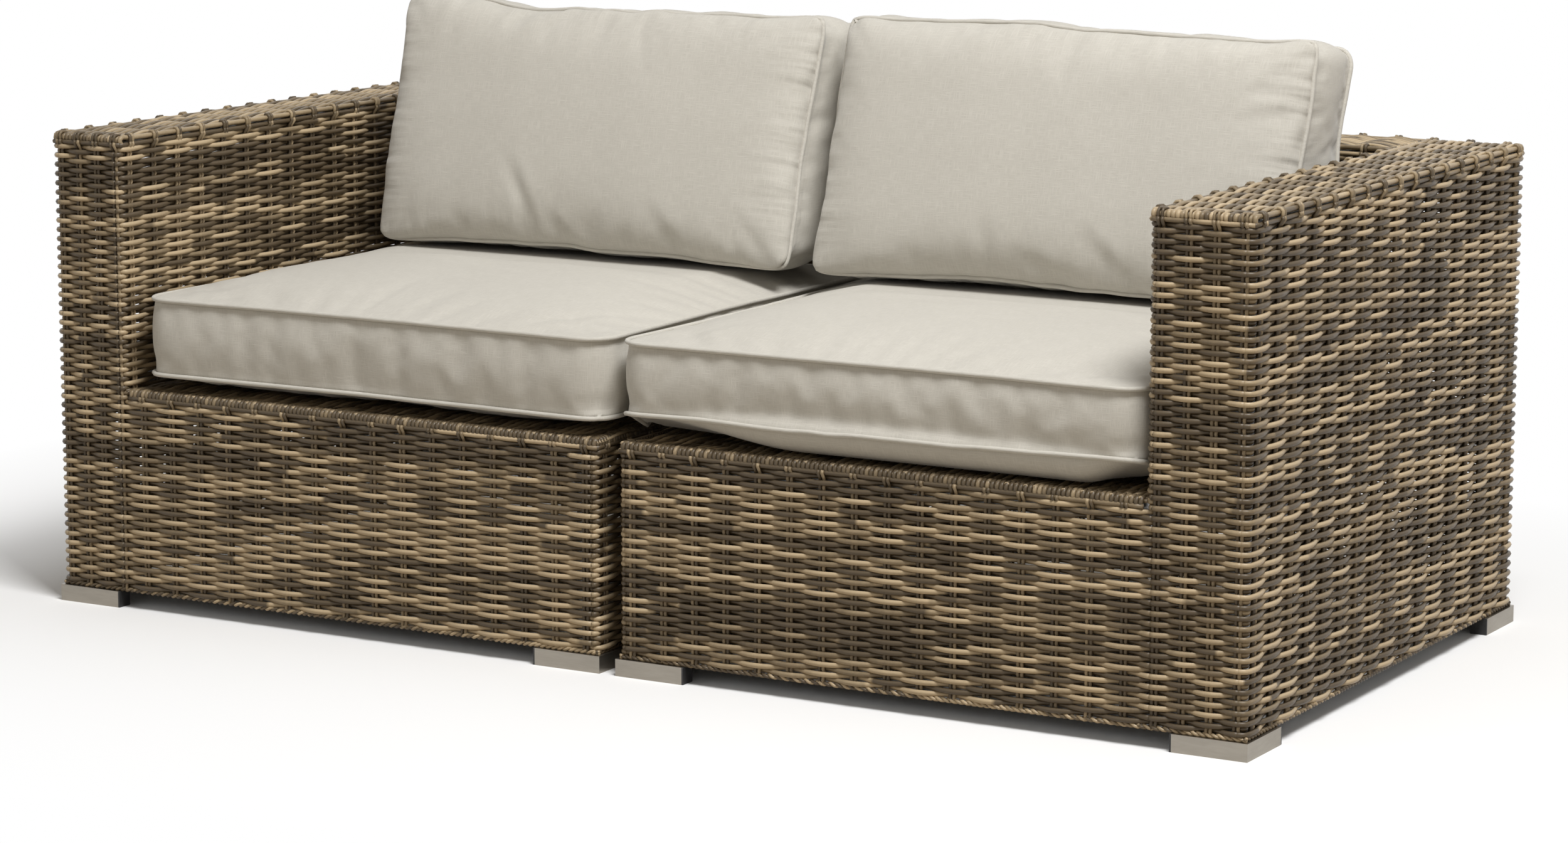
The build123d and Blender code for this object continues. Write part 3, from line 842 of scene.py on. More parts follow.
def panel_direction(module, way, main, cross):
    return lay(module, way, main, cross, 0.0) - lay(module, way, 0.0, 0.0, 0.0)


def turn_down(module, run, height, edges, ends, arc):
    """Lengthens strands over the rim at each edge where ends says so, by the arc's points."""
    inset, drop = np.array(arc).T
    for edge, sign, turned in zip(edges, (1, -1), ends):
        if turned:
            arcs = ((edge + sign * inset)[::sign], (module["top"] - drop)[::sign])
            run, height = (
                np.concatenate([np.broadcast_to(part, (len(line), len(part))), line][::sign], 1)
                for part, line in zip(arcs, (run, height))
            )
    return run, height


def flat_strands(tubes, module, way, columns, marks, level, swing, ends, seed, rings, radii):
    """Strands side by side along a flat panel, waving over and under its stakes. ends says
    at which end they turn down over the rim."""
    distances, counts = zip(*marks)
    start, stop = (
        edge + sign * top_turn * turned
        for edge, sign, turned in zip((distances[0], distances[-1]), (1, -1), ends)
    )
    span = np.interp((start, stop), distances, counts)
    steps = max(1, int(round(abs(span[1] - span[0]) * rings)))
    stakes = np.linspace(span[0], span[1], steps + 1)
    along = np.interp(stakes, counts, distances)
    edge = np.minimum(along - start if ends[0] else 1.0, stop - along if ends[1] else 1.0)
    fade = ease(np.clip(np.broadcast_to(edge, along.shape) / corner_fade, 0.0, 1.0))
    rows = np.arange(len(columns))[:, None]
    wave = np.sin(math.pi * (stakes[None, :] + rows)) * fade
    height = level + swing * wave + (top_inset - rim_arc[-1][1]) * (1 - fade)
    edges = (distances[0], distances[-1])
    main = np.broadcast_to(along, height.shape)
    main, height = turn_down(module, main, height, edges, ends, rim_arc)
    cross = np.array(columns)[:, None] + np.zeros_like(height)
    centre = lay(module, way, main, cross, height)
    out = np.broadcast_to(panel_direction(module, way, 0.0, 1.0), centre.shape)
    tone = top_tone[0] + top_tone[1] * strand_tone(main, rows + 11.0, seed)
    tubes.add(centre, out, *radii, tone)


def flat_stakes(tubes, module, way, places, numbers, columns, level, ends, edges, seed):
    """Stake pairs across a flat panel, under each crest and over the strands between. ends
    says at which edge they come up over a rim."""
    rows = np.arange(len(columns))[None, :]
    numbers = np.asarray(numbers, float)[:, None]
    height = level - stake_swing * np.sin(math.pi * (numbers + 0.5 + rows))
    cross = np.broadcast_to(columns, height.shape)
    cross, height = turn_down(module, cross, height, edges, ends, stake_arc)
    for offset in (-stake_spread, stake_spread):
        main = np.asarray(places)[:, None] + offset + np.zeros_like(height)
        centre = lay(module, way, main, cross, height)
        out = np.broadcast_to(panel_direction(module, way, 1.0, 0.0), centre.shape)
        mark = numbers * stake_tone_step + (top_tone_gap if offset > 0 else 0.0)
        tone = stake_tone(mark, seed + 40.0)
        tubes.add(centre, out, stake_radius, stake_radius, tone, thin_sides)


def rim_hooks(tubes, module, way, places, edge, direction, seed):
    """Stake pairs that come up over a rim and dive in between the strands they run along."""
    inset, drop = np.array(stake_arc + hook_dive).T
    main = np.broadcast_to(edge + direction * inset, (len(places), len(inset)))
    height = np.broadcast_to(module["top"] - drop, main.shape)
    for offset in (-stake_spread, stake_spread):
        cross = np.asarray(places)[:, None] + offset + np.zeros_like(height)
        centre = lay(module, way, main, cross, height)
        out = np.broadcast_to(panel_direction(module, way, 0.0, 1.0), centre.shape)
        tone = stake_tone(np.asarray(places) * hook_tone_step + offset, seed)[:, None]
        tubes.add(centre, out, hook_radius, hook_radius, tone, thin_sides)


def even_columns(start, stop):
    """Places of strands side by side, no wider apart than the rows of the walls."""
    count = int(math.ceil((stop - start) / row_pitch))
    return start + (np.arange(count) + 0.5) * (stop - start) / count


def pair_places(start, stop, spaces):
    """Where the stake pairs stand, one in the middle of each space."""
    return start + (np.arange(spaces) + 0.5) / spaces * (stop - start)


def flat_top(tubes, module, way, edges, marks, ends, seed):
    """The strands of an arm or back top between its two rims, each with a rounder strand."""
    level = module["top"] - top_inset
    columns = even_columns(edges[0] + top_margin, edges[1] - top_margin)
    flat_strands(
        tubes, module, way, columns, marks, level, top_swing, ends, seed, rings_per_stake,
        (strand_half_height, strand_half_depth),
    )
    for place in (edges[0] + rim_inset, edges[1] - rim_inset):
        flat_strands(
            tubes, module, way, [place], marks, module["top"] - rim_inset, 0.0, ends,
            seed + 1 + place, edge_rings, (rim_radius, rim_radius),
        )
    return columns, level


def weave_tops(module, seed):
    """The tops of the arm and the back, and the seat deck."""
    side, arm, width = module["side"], module["arm"], module["width"]
    front, rear, back = module["front"], module["rear"], module["back"]
    side_places = pair_places(front, rear, side_spaces)
    back_places = pair_places(0.0, width, back_spaces)

    tubes = Tubes()
    marks = ((front, 0), (rear, side_spaces))
    columns, level = flat_top(tubes, module, "depth", (0.0, arm), marks, (True, True), seed + 1)
    before_back = side_places < back - edge_margin
    for chosen, ends in ((before_back, (True, True)), (~before_back, (True, False))):
        flat_stakes(
            tubes, module, "depth", side_places[chosen], np.flatnonzero(chosen), columns, level,
            ends, (0.0, arm), seed + 1,
        )
    rim_hooks(tubes, module, "depth", pair_places(0.0, arm, arm_spaces), front, 1, seed + 3)
    rim_hooks(tubes, module, "depth", back_places[back_places < arm], rear, -1, seed + 4)
    tubes.build(f"arm_top_strands_{side}", wicker, [f"arm_top_weave_{side}"])

    tubes = Tubes()
    marks = ((arm - back_overlap, back_spaces * arm / width), (width, back_spaces))
    columns, level = flat_top(
        tubes, module, "inward", (back, rear), marks, (False, True), seed + 5
    )
    past_arm = back_places > arm
    flat_stakes(
        tubes, module, "inward", back_places[past_arm], np.flatnonzero(past_arm), columns, level,
        (True, True), (back, rear), seed + 5,
    )
    rim_hooks(tubes, module, "inward", pair_places(back, rear, end_spaces), width, -1, seed + 7)
    tubes.build(f"back_top_strands_{side}", wicker, [f"back_top_weave_{side}"])

    tubes = Tubes()
    level = module["rim"] - deck_inset
    columns = even_columns(arm - deck_margins["arm"], width - deck_margins["inner"])
    ends = (front + deck_margins["front"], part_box(f"seat_deck_{side}")[1].y - deck_margins["back"])
    flat_strands(
        tubes, module, "depth", columns, tuple(zip(ends, deck_stakes)), level, deck_swing,
        (False, False), seed + 8, edge_rings, (strand_half_height, deck_half_height),
    )
    numbers = np.arange(deck_pairs)
    flat_stakes(
        tubes, module, "depth", np.interp(numbers + 0.5, deck_stakes, ends), numbers, columns,
        level, (False, False), (0.0, width), seed + 8,
    )
    tubes.build(f"seat_deck_strands_{side}", wicker, [f"seat_deck_{side}"])


for number, module in enumerate(modules.values()):
    weave_tops(module, 60.0 * number + 30.0)


# The cushions.
# Loose foam and fibre cushions in a slubbed greige outdoor cloth: a panel on each face and a
# boxing strip between, sewn with a corded welt along both seams. The cloth is cut a little
# large, so it swells between the seams and puckers beside them.

seat_boxing, seat_crown, seat_belly = 0.092, 0.026, 0.021
back_boxing, back_crown, back_rear_crown = 0.128, 0.030, 0.075
back_height, back_lean = 0.334, math.radians(17.5)
back_foot = (0.02346, 0.42196)
rest_clearance = 0.0003
piping_clearance = 0.0002
crown_overrun = 0.014
cushion_corner = 0.034
cushion_draw_in = 0.022
touch_gap = 0.0005

# The cut of the cover: its grid, and how its panels and boxing start before they swell
panel_cell = {"seat": 0.0105, "back": 0.0092}
boxing_cells = {"seat": 10, "back": 12}
seam_inset = {"seat": 0.0, "back": 0.0040}
seam_wave = {"seat": 0.0018, "back": 0.0034}
seam_wave_lengths = (0.085, 0.031)
fine_wave_share = 0.9
corner_count, straight_count = 9, 41
roll_out = {"seat": (0.0, 0.004), "back": (0.0150, 0.0)}
roll_width = 0.012
start_crown_share = 0.55
crown_power = {"seat": (0.72, 0.5), "back": (0.55, 0.8)}
boxing_bulge = 0.004

# Puckers as shape, and gathers as masks for the finer folds of the material. Odd numbers
# added to a seed or a place in the formulas below only keep the noises apart.
pucker_depth = {"seat": 0.0003, "back": 0.0014}
pucker_pitch = 0.011
pucker_reach = 0.017
pucker_strength = {"panel": (0.25, 1.1, 0.07), "boxing": (0.2, 0.9, 0.06)}
boxing_pucker = 1.4
gather_reach = {"seat": 0.016, "back": 0.036, "boxing": 0.022}
gather_strength = {"seat": (0.35, 0.30), "back": (1.0, 0.40)}
gather_power = 1.6
boxing_gather = {"seat": 0.08, "back": 0.55}

# The cloth as it swells
cloth_extra = 0.012
cloth_frames = 20
cloth_pressure = {"seat": 2.2, "back": 4.0}
cloth_settings = {
    "quality": 6, "mass": 0.25, "tension_stiffness": 30.0, "compression_stiffness": 30.0,
    "shear_stiffness": 12.0, "bending_stiffness": 0.25, "air_damping": 2.0,
    "use_pressure": True, "vertex_group_mass": "seams", "shrink_min": -cloth_extra,
}
move_cap = {"seat": 0.022, "back": 0.030}

# Folds: place from the cushion's left end and its foot (for a seat, its front edge), angle,
# half length, half width and depth. Puffs: place along the top, half width and height.
folds = {
    ("back", "left"): (
        (0.240, 0.070, -62, 0.036, 0.009, 0.0052), (0.300, 0.026, -48, 0.030, 0.008, 0.0034),
        (0.462, 0.028, -50, 0.034, 0.009, 0.0036), (0.198, 0.312, 48, 0.030, 0.010, 0.0032),
        (0.560, 0.020, -70, 0.024, 0.007, 0.0026), (0.080, 0.030, 35, 0.036, 0.010, 0.0022),
    ),
    ("back", "right"): (
        (0.330, 0.022, -22, 0.040, 0.009, 0.0040), (0.410, 0.040, -40, 0.034, 0.009, 0.0030),
        (0.250, 0.050, -75, 0.030, 0.009, 0.0024), (0.585, 0.230, 8, 0.034, 0.006, 0.0030),
        (0.590, 0.262, 4, 0.030, 0.006, 0.0026), (0.040, 0.040, 40, 0.030, 0.008, 0.0022),
    ),
    ("seat", "left"): (
        (0.600, 0.050, 38, 0.040, 0.010, 0.0026), (0.630, 0.105, 62, 0.036, 0.009, 0.0018),
        (0.070, 0.055, -35, 0.045, 0.012, 0.0016), (0.350, 0.240, 12, 0.090, 0.020, 0.0012),
    ),
    ("seat", "right"): (
        (0.075, 0.060, -36, 0.046, 0.011, 0.0024), (0.600, 0.060, 40, 0.040, 0.010, 0.0018),
        (0.320, 0.300, -10, 0.100, 0.022, 0.0012),
    ),
}
fold_side_share = 0.4
ridge_share = 0.45
ridge_place = 1.6
puffs = {
    "left": (
        (0.060, 0.060, 0.003), (0.210, 0.080, -0.008), (0.330, 0.050, -0.004),
        (0.560, 0.090, -0.008),
    ),
    "right": ((0.040, 0.060, -0.003), (0.240, 0.110, 0.002), (0.560, 0.090, -0.009)),
}
broad_wave = {"seat": 0.0018, "back": 0.0034}
broad_lengths = (0.09, 0.08)

# How a back cushion settles: its rear top rises and draws in, most at its ends, its front top
# drops, and its outer end narrows towards the foot
settled_share = 0.65
top_drop = 0.004
rear_lift, rear_lift_reach, rear_draw = (0.002, 0.019), 0.045, 0.023
outer_taper = {"left": 0.014, "right": 0.004}

# How the right seat cushion hangs over its rim: the seam's lift at its left and right, where
# along the cushion it changes, and the reach of the belly below it
front_lift = {"right": (0.011, 0.016)}
lift_share, rest_share = 0.35, 0.12
lift_depths = (0.14, 0.12)
belly_turn = 0.030
belly_out = 0.017
belly_least = 0.15
belly_end = 0.03
belly_inward = 0.05
belly_front_share = 0.6
held_depths = (0.080, 0.050)

# Welts and zips
welt_radius = 0.0028
welt_out = {"seat": 0.0020, "back": 0.0012}
welt_sink = 0.0004
welt_square = 7
welt_corner_cut = 0.25
welt_sides = 8
zip_share = 0.62
zip_steps = 4
plain_tone, tape_tone, coil_tone = 0.5, 0.4, 0.8
tape_middle, tape_half, tape_thickness, tape_out = 0.0062, 0.0048, 0.0005, 0.0004
coil_middle, coil_step, coil_out = 0.0009, 0.0001, 0.0010
coil_halves = (0.0008, 0.0009)
slider_half, slider_out, slider_back = 0.0045, 0.0014, 6
slider_depths = np.array([[0.0008, 0.0018, 0.0020, 0.0018, 0.0010]])
slider_widths = np.array([[0.0020, 0.0036, 0.0038, 0.0034, 0.0022]])
pull_ends, pull_out, pull_thickness = (0.001, 0.021), 0.0034, 0.0006
pull_widths = np.array([[0.0016, 0.0021, 0.0026, 0.0028, 0.0018]])

cloth_light = (0.596, 0.570, 0.512)
cloth_dark = (0.484, 0.460, 0.408)
cloth_roughness = 0.85
cloth_sheen = {"Sheen Weight": 0.25, "Sheen Roughness": 0.5}
thread_scales = (900.0, 60.0)
thread_range = (0.42, 0.72)
thread_depth, thread_strength = 0.00035, 0.7
cloud_scales = (5.0, 40.0)
cloud_share = 0.25
gather_scales = (9.0, 62.0)
gather_depth = 0.0060
bias_turn = (0.6, 0.5, 0.785)
bias_squeeze = (1.0, 7.0, 7.0)
bias_scales = (45.0, 150.0)
bias_depth, bias_strength = 0.0003, 0.8
tape_dark, tape_light, tape_roughness = (0.20, 0.185, 0.155), (0.29, 0.27, 0.23), 0.7
pull_grey, pull_roughness = (0.42, 0.40, 0.36), 0.32


def hump(away, reach):
    """Rises from 0 at an edge to 1 at its reach, and fades beyond it."""
    return away / reach * np.exp(1 - away / reach)


def arc_rise(low, high, height, place):
    """Height of a circular arc over its chord, which overruns low and high at both ends."""
    half = (high - low) / 2 + crown_overrun
    radius = (half * half + height * height) / (2 * height)
    away = np.clip(place - (low + high) / 2, -half, half)
    return np.sqrt(radius * radius - away * away) - radius + height


def cushion_shape(kind, side):
    """One cushion as its own axes: x along it, y over its face, z from its face through its
    thickness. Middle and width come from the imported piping."""
    low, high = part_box(f"{kind}_cushion_{side}_piping")
    reach = 2 * welt_radius + piping_clearance
    centre = (low.x + high.x) / 2
    shape = {"kind": kind, "side": side, "width": high.x - low.x - 2 * reach}
    if kind == "seat":
        face_z = modules[side]["rim"] + rest_clearance + seat_belly + seat_boxing
        shape.update(
            origin=np.array([centre, 0.0, face_z]),
            axes=np.array([[1.0, 0, 0], [0, -1.0, 0], [0, 0, -1.0]]),
            low=-(high.y - reach), high=-(low.y + reach),
            boxing=seat_boxing, rise=0.0, crowns=(seat_crown, seat_belly),
        )
    else:
        cos, sin = math.cos(back_lean), math.sin(back_lean)
        shape.update(
            origin=np.array([centre, *back_foot]),
            axes=np.array([[-1.0, 0, 0], [0, sin, cos], [0, cos, -sin]]),
            low=0.0, high=back_height,
            boxing=back_boxing, rise=back_boxing * math.tan(back_lean),
            crowns=(back_crown, back_rear_crown),
        )
    shape["right"] = shape["axes"][0][0]
    return shape


def shape_to_world(shape, points):
    return shape["origin"] + points @ shape["axes"]


def to_shape(shape, points):
    return (points - shape["origin"]) @ shape["axes"].T


def outline_points(width, low, high, counts, wave, seed):
    """Points round a cushion's seam, even along each side from corner to corner: straight
    runs drawn in to their middles, round corners, and a slow unevenness of the sewing."""
    corner = np.array([width / 2, (high - low) / 2]) - cushion_corner
    corner_ways = np.array([(1, -1), (1, 1), (-1, 1), (-1, -1)])
    turn = math.atan(cushion_draw_in)
    square = math.pi / 2
    arc = np.linspace(0, 1, corner_count) * (square / 2 + turn)
    share = np.linspace(0, 1, straight_count)[1:-1, None]
    loop = []
    for number in range(4):
        facing = number * square
        first, last = (
            way * corner + cushion_corner * np.stack([np.cos(angle), np.sin(angle)], -1)
            for way, angle in (
                (corner_ways[number], facing - square / 2 + arc),
                (corner_ways[(number + 1) % 4], facing - turn + arc),
            )
        )
        straight = first[-1] * (1 - share) + last[0] * share
        normal = np.array([math.cos(facing), math.sin(facing)])
        sag = cushion_draw_in * corner[(number + 1) % 2] * (1 - (2 * share - 1) ** 2)
        side_points = np.concatenate([first, straight - normal * sag, last])
        steps = np.linalg.norm(np.diff(side_points, axis=0), axis=1)
        length = np.concatenate([[0], np.cumsum(steps)])
        at = np.linspace(0, length[-1], counts[number % 2] + 1)[:-1]
        even = np.stack([np.interp(at, length, side_points[:, i]) for i in (0, 1)], -1)
        reach = np.sin(math.pi * at / length[-1])[:, None]
        slow, fast = seam_wave_lengths
        drift = hash_noise(at / slow + 31.0 * number, seed)[:, None] - 0.5
        fine = hash_noise(at / fast + 57.0 * number, seed + 3.0)[:, None] - 0.5
        loop.append(even + normal * reach * wave * (2 * drift + fine_wave_share * fine))
    return np.concatenate(loop) + np.array([0, (low + high) / 2])


def fill_panel(loop, counts):
    """A grid of points inside a loop: each point blends the four sides that it lies between."""
    down, wide = counts
    right = loop[0:down + 1]
    top = loop[down:down + wide + 1][::-1]
    left = loop[down + wide:2 * down + wide + 1][::-1]
    bottom = np.concatenate([loop[2 * down + wide:], loop[:1]])
    u = np.linspace(0, 1, wide + 1)[:, None, None]
    v = np.linspace(0, 1, down + 1)[None, :, None]
    return (
        (1 - u) * left[None, :] + u * right[None, :]
        + (1 - v) * bottom[:, None] + v * top[:, None]
        - (1 - u) * (1 - v) * left[0] - u * (1 - v) * right[0]
        - (1 - u) * v * left[-1] - u * v * right[-1]
    )


def uneven_strength(beside, kind, seed):
    """How strong puckers and gathers are along a seam."""
    least, more, length = pucker_strength[kind]
    return least + more * hash_noise(beside / length, seed)


def cover_panel(shape, number, counts, seed):
    """A panel before it swells: its seam's loop, its flat grid, its points, and its puckers
    and gathers. It starts as a low crown, zero at the seam: the product over both ways of 1
    minus the distance from the middle to the fourth power, raised to a power below 1, so
    that it is steep beside the seam. It may also roll out over its seam."""
    kind = shape["kind"]
    down, wide = counts
    low = shape["low"] + shape["rise"] * number
    inset = seam_inset[kind]
    loop = outline_points(
        shape["width"] - 2 * inset, low + inset, shape["high"] - inset, counts,
        seam_wave[kind], seed + 5 * number,
    )
    grid = fill_panel(loop, counts)
    flat = grid.reshape(-1, 2).copy()
    bend = [1 - np.abs(2 * np.linspace(0, 1, n + 1) - 1) ** 4 for n in (wide, down)]
    crown = (bend[0][:, None] * bend[1][None, :]) ** crown_power[kind][number]
    crown = start_crown_share * shape["crowns"][number] * crown
    extent = (shape["width"], shape["high"] - low)
    pucker = np.zeros(grid.shape[:2])
    gathers = np.zeros((*grid.shape[:2], 2))
    for axis in (0, 1):
        share = np.linspace(0, 1, (wide, down)[axis] + 1)
        share = share[:, None] if axis == 0 else share[None, :]
        for end in (0, 1):
            away = extent[axis] * (share if end == 0 else 1 - share) + 0 * crown
            grid[..., axis] += (2 * end - 1) * roll_out[kind][number] * hump(away, roll_width)
            beside = grid[..., 1 - axis]
            seam_seed = seed + 17.0 * number + 3.0 * end + 7.0 * axis
            strong = uneven_strength(beside, "panel", seam_seed + 1.0)
            gather = hash_noise(beside / pucker_pitch, seam_seed) - 0.5
            pucker += 2 * gather * strong * hump(away, pucker_reach)
            reach = np.exp(-((away / gather_reach[kind]) ** gather_power))
            gathers[..., axis] += gather_strength[kind][axis] * strong * reach
    depth = (-crown, shape["boxing"] + crown)[number]
    points = np.concatenate([grid, depth[..., None]], -1).reshape(-1, 3)
    return loop, flat, points, pucker.reshape(-1) * (1, 0.5)[number], gathers.reshape(-1, 2)


def cover_boxing(shape, loops, rise, seed):
    """The strip between the seams before it swells: its points, puckers and gathers. It
    bulges in the middle by a parabola."""
    kind, boxing = shape["kind"], shape["boxing"]
    share = np.linspace(0, 1, len(rise))[1:-1, None, None]
    normal = np.roll(loops[0], -1, 0) - np.roll(loops[0], 1, 0)
    normal = np.stack([normal[:, 1], -normal[:, 0]], -1)
    normal /= np.linalg.norm(normal, axis=1, keepdims=True)
    plan = loops[0] * (1 - share) + loops[1] * share
    plan = plan + normal * (boxing_bulge + seam_inset[kind]) * (1 - (2 * share - 1) ** 2)
    depth = np.broadcast_to(boxing * share, (*plan.shape[:2], 1))
    points = np.concatenate([plan, depth], -1).reshape(-1, 3)

    level = rise[1:-1]
    step = np.linalg.norm(np.roll(loops[0], -1, 0) - loops[0], axis=1)
    beside = np.cumsum(step)[None, :] + np.zeros_like(level)
    strong = uneven_strength(beside, "boxing", seed + 61.0)
    pucker, close = np.zeros_like(beside), np.zeros_like(beside)
    for end, away in enumerate((level, boxing - level)):
        gather = hash_noise(beside / pucker_pitch, seed + 71.0 + end) - 0.5
        pucker += gather * hump(away, pucker_reach)
        close += np.exp(-((away / gather_reach["boxing"]) ** gather_power))
    pucker = (boxing_pucker * pucker * strong).reshape(-1)
    close = (boxing_gather[kind] * close * strong).reshape(-1)
    return points, pucker, np.stack([np.zeros_like(close), close], -1)


def cushion_mesh(shape, seed):
    """The closed cover before it swells: vertices, quads, their places on the cloth in
    metres, and the rings of points from one seam to the other."""
    kind = shape["kind"]
    lengths = (shape["high"] - shape["low"], shape["width"])
    counts = tuple(2 * int(round(length / panel_cell[kind] / 2)) for length in lengths)
    down, wide = counts
    around, levels = 2 * (down + wide), boxing_cells[kind]
    size = (wide + 1) * (down + 1)

    panels = [cover_panel(shape, number, counts, seed) for number in (0, 1)]
    loops, flat, points, puckers, gathers = (list(parts) for parts in zip(*panels))
    rise = np.linspace(0, shape["boxing"], levels + 1)[:, None] + np.zeros((1, around))
    for parts, strip in zip((points, puckers, gathers), cover_boxing(shape, loops, rise, seed)):
        parts.append(strip)

    u = np.concatenate([
        np.full(down, wide), wide - np.arange(wide), np.zeros(down, int), np.arange(wide),
    ])
    v = np.concatenate([
        np.arange(down), np.full(wide, down), down - np.arange(down), np.zeros(wide, int),
    ])
    rim = (u * (down + 1) + v)[None]
    between = 2 * size + np.arange((levels - 1) * around).reshape(levels - 1, around)
    rings = np.concatenate([rim, between, rim + size])
    turned = np.roll(rings, -1, 1)
    index = np.arange(size).reshape(wide + 1, down + 1)
    panel = np.stack([index[:-1, :-1], index[1:, :-1], index[1:, 1:], index[:-1, 1:]], -1)
    panel = panel.reshape(-1, 4)
    box = np.stack([rings[:-1], turned[:-1], turned[1:], rings[1:]], -1).reshape(-1, 4)

    step = np.linalg.norm(np.roll(loops[0], -1, 0) - loops[0], axis=1)
    length = np.concatenate([[0], np.cumsum(step)])
    across, after = (part[None, :] + np.zeros((levels, 1)) for part in (length[:-1], length[1:]))
    box_uv = np.stack([
        np.stack(pair, -1)
        for pair in ((across, rise[:-1]), (after, rise[:-1]), (after, rise[1:]), (across, rise[1:]))
    ], 2).reshape(-1, 4, 2)
    return {
        "shape": shape, "counts": counts, "panel_size": size, "rings": rings,
        "start": np.concatenate(points),
        "quads": np.concatenate([panel[:, ::-1], panel + size, box]),
        "uv": np.concatenate([flat[0][panel[:, ::-1]], flat[1][panel], box_uv]),
        "seams": (rings[0], rings[-1]),
        "pucker": np.concatenate(puckers) * pucker_depth[kind],
        "gathers": np.concatenate(gathers),
    }


def build_cover(shape, seed):
    """The cover as a mesh object, with its seams creased and pinned."""
    cover = cushion_mesh(shape, seed)
    points, quads, uv, seams = (cover[key] for key in ("start", "quads", "uv", "seams"))
    name = f"{shape['kind']}_cushion_{shape['side']}_cloth"
    mesh = bpy.data.meshes.new(name)
    mesh.from_pydata(shape_to_world(shape, points).tolist(), [], quads.tolist())
    mesh.polygons.foreach_set("use_smooth", np.ones(len(quads), bool))
    layer = mesh.uv_layers.new(name="cloth")
    layer.data.foreach_set("uv", uv.reshape(-1).astype(np.float32))
    ends = np.zeros(2 * len(mesh.edges), np.int32)
    mesh.edges.foreach_get("vertices", ends)
    ends = ends.reshape(-1, 2)
    along_seam = np.zeros(len(ends), bool)
    for seam in seams:
        along_seam |= np.isin(ends, seam).all(axis=1)
    crease = mesh.attributes.new("crease_edge", "FLOAT", "EDGE")
    crease.data.foreach_set("value", along_seam.astype(np.float32))
    for axis, label in enumerate(("gather_across", "gather_along")):
        gather = mesh.attributes.new(label, "FLOAT", "POINT")
        gather.data.foreach_set("value", cover["gathers"][:, axis].astype(np.float32))
    piece = add_object(name, mesh)
    pinned = piece.vertex_groups.new(name="seams")
    pinned.add(np.unique(np.concatenate(seams)).tolist(), 1.0, "REPLACE")
    cover["piece"] = piece
    return cover


def swell(covers):
    """Lets the cloth of all cushions swell under pressure between its pinned seams."""
    for cover in covers:
        cloth = cover["piece"].modifiers.new("cloth", "CLOTH")
        for name, value in cloth_settings.items():
            setattr(cloth.settings, name, value)
        cloth.settings.uniform_pressure_force = cloth_pressure[cover["shape"]["kind"]]
        cloth.settings.effector_weights.gravity = 0.0
        cloth.collision_settings.use_collision = False
    for step in range(1, cloth_frames + 1):
        scene.frame_set(step)
    graph = bpy.context.evaluated_depsgraph_get()
    for cover in covers:
        swollen = cover["piece"].evaluated_get(graph).data
        place = np.zeros(3 * len(swollen.vertices), np.float32)
        swollen.vertices.foreach_get("co", place)
        cover["swollen"] = to_shape(cover["shape"], place.reshape(-1, 3).astype(float))
    for cover in covers:
        cover["piece"].modifiers.clear()
    scene.frame_set(1)


def outward(quads, points):
    """Unit normal at each point, averaged over its quads."""
    a, b, c, d = (points[quads[:, i]] for i in range(4))
    normal = np.cross(c - a, d - b)
    total = np.zeros_like(points)
    for i in range(4):
        np.add.at(total, quads[:, i], normal)
    return total / np.maximum(np.linalg.norm(total, axis=1, keepdims=True), 1e-12)


def fold_field(shape, points):
    """How far each point of the face sinks into the folds of the cushion. A fold is a long
    dent: a bell across its line and another along it, with a small ridge beside it."""
    total = np.zeros(len(points))
    for across, up, angle, length, width, depth in folds[shape["kind"], shape["side"]]:
        x = shape["right"] * points[:, 0] + shape["width"] / 2 - across
        y = points[:, 1] - (up if shape["kind"] == "back" else shape["high"] - up)
        turn = math.radians(angle)
        along = x * math.cos(turn) + y * math.sin(turn)
        beside = -x * math.sin(turn) + y * math.cos(turn)
        line = (along / length) ** 2
        bell = np.exp(-line - (beside / width) ** 2)
        ridge = np.exp(-line - ((beside - ridge_place * width) / width) ** 2)
        total += depth * (ridge_share * ridge - bell)
    return np.where(points[:, 2] < fold_side_share * shape["boxing"], total, 0.0)


def settle_back(shape, points):
    """Gives a back cushion the uneven top, the drawn-in rear and the tapered outer end of
    one that has been leant against."""
    top = np.clip(points[:, 1] / shape["high"], 0.0, 1.0) ** 4
    rise = 0.0
    for across, width, height in puffs[shape["side"]]:
        x = shape["right"] * points[:, 0] + shape["width"] / 2 - across
        rise = rise + height * np.exp(-((x / width) ** 2))
    points[:, 1] += top * rise
    up = ease(np.clip(points[:, 1] / shape["high"] / settled_share, 0.0, 1.0))
    through = np.clip(points[:, 2] / shape["boxing"], 0.0, 1.0)
    from_end = shape["width"] / 2 - np.abs(points[:, 0])
    least, most = rear_lift
    lift = least + (most - least) * np.exp(-((from_end / rear_lift_reach) ** 2))
    points[:, 1] += up * (lift * through - top_drop * (1 - through))
    points[:, 2] -= up * through * rear_draw
    to_outer = shape["right"] * sides[shape["side"]]
    outer_share = np.clip(to_outer * points[:, 0] / shape["width"] * 2, 0.0, 1.0)
    points[:, 0] -= to_outer * outer_taper[shape["side"]] * outer_share * (1 - up)


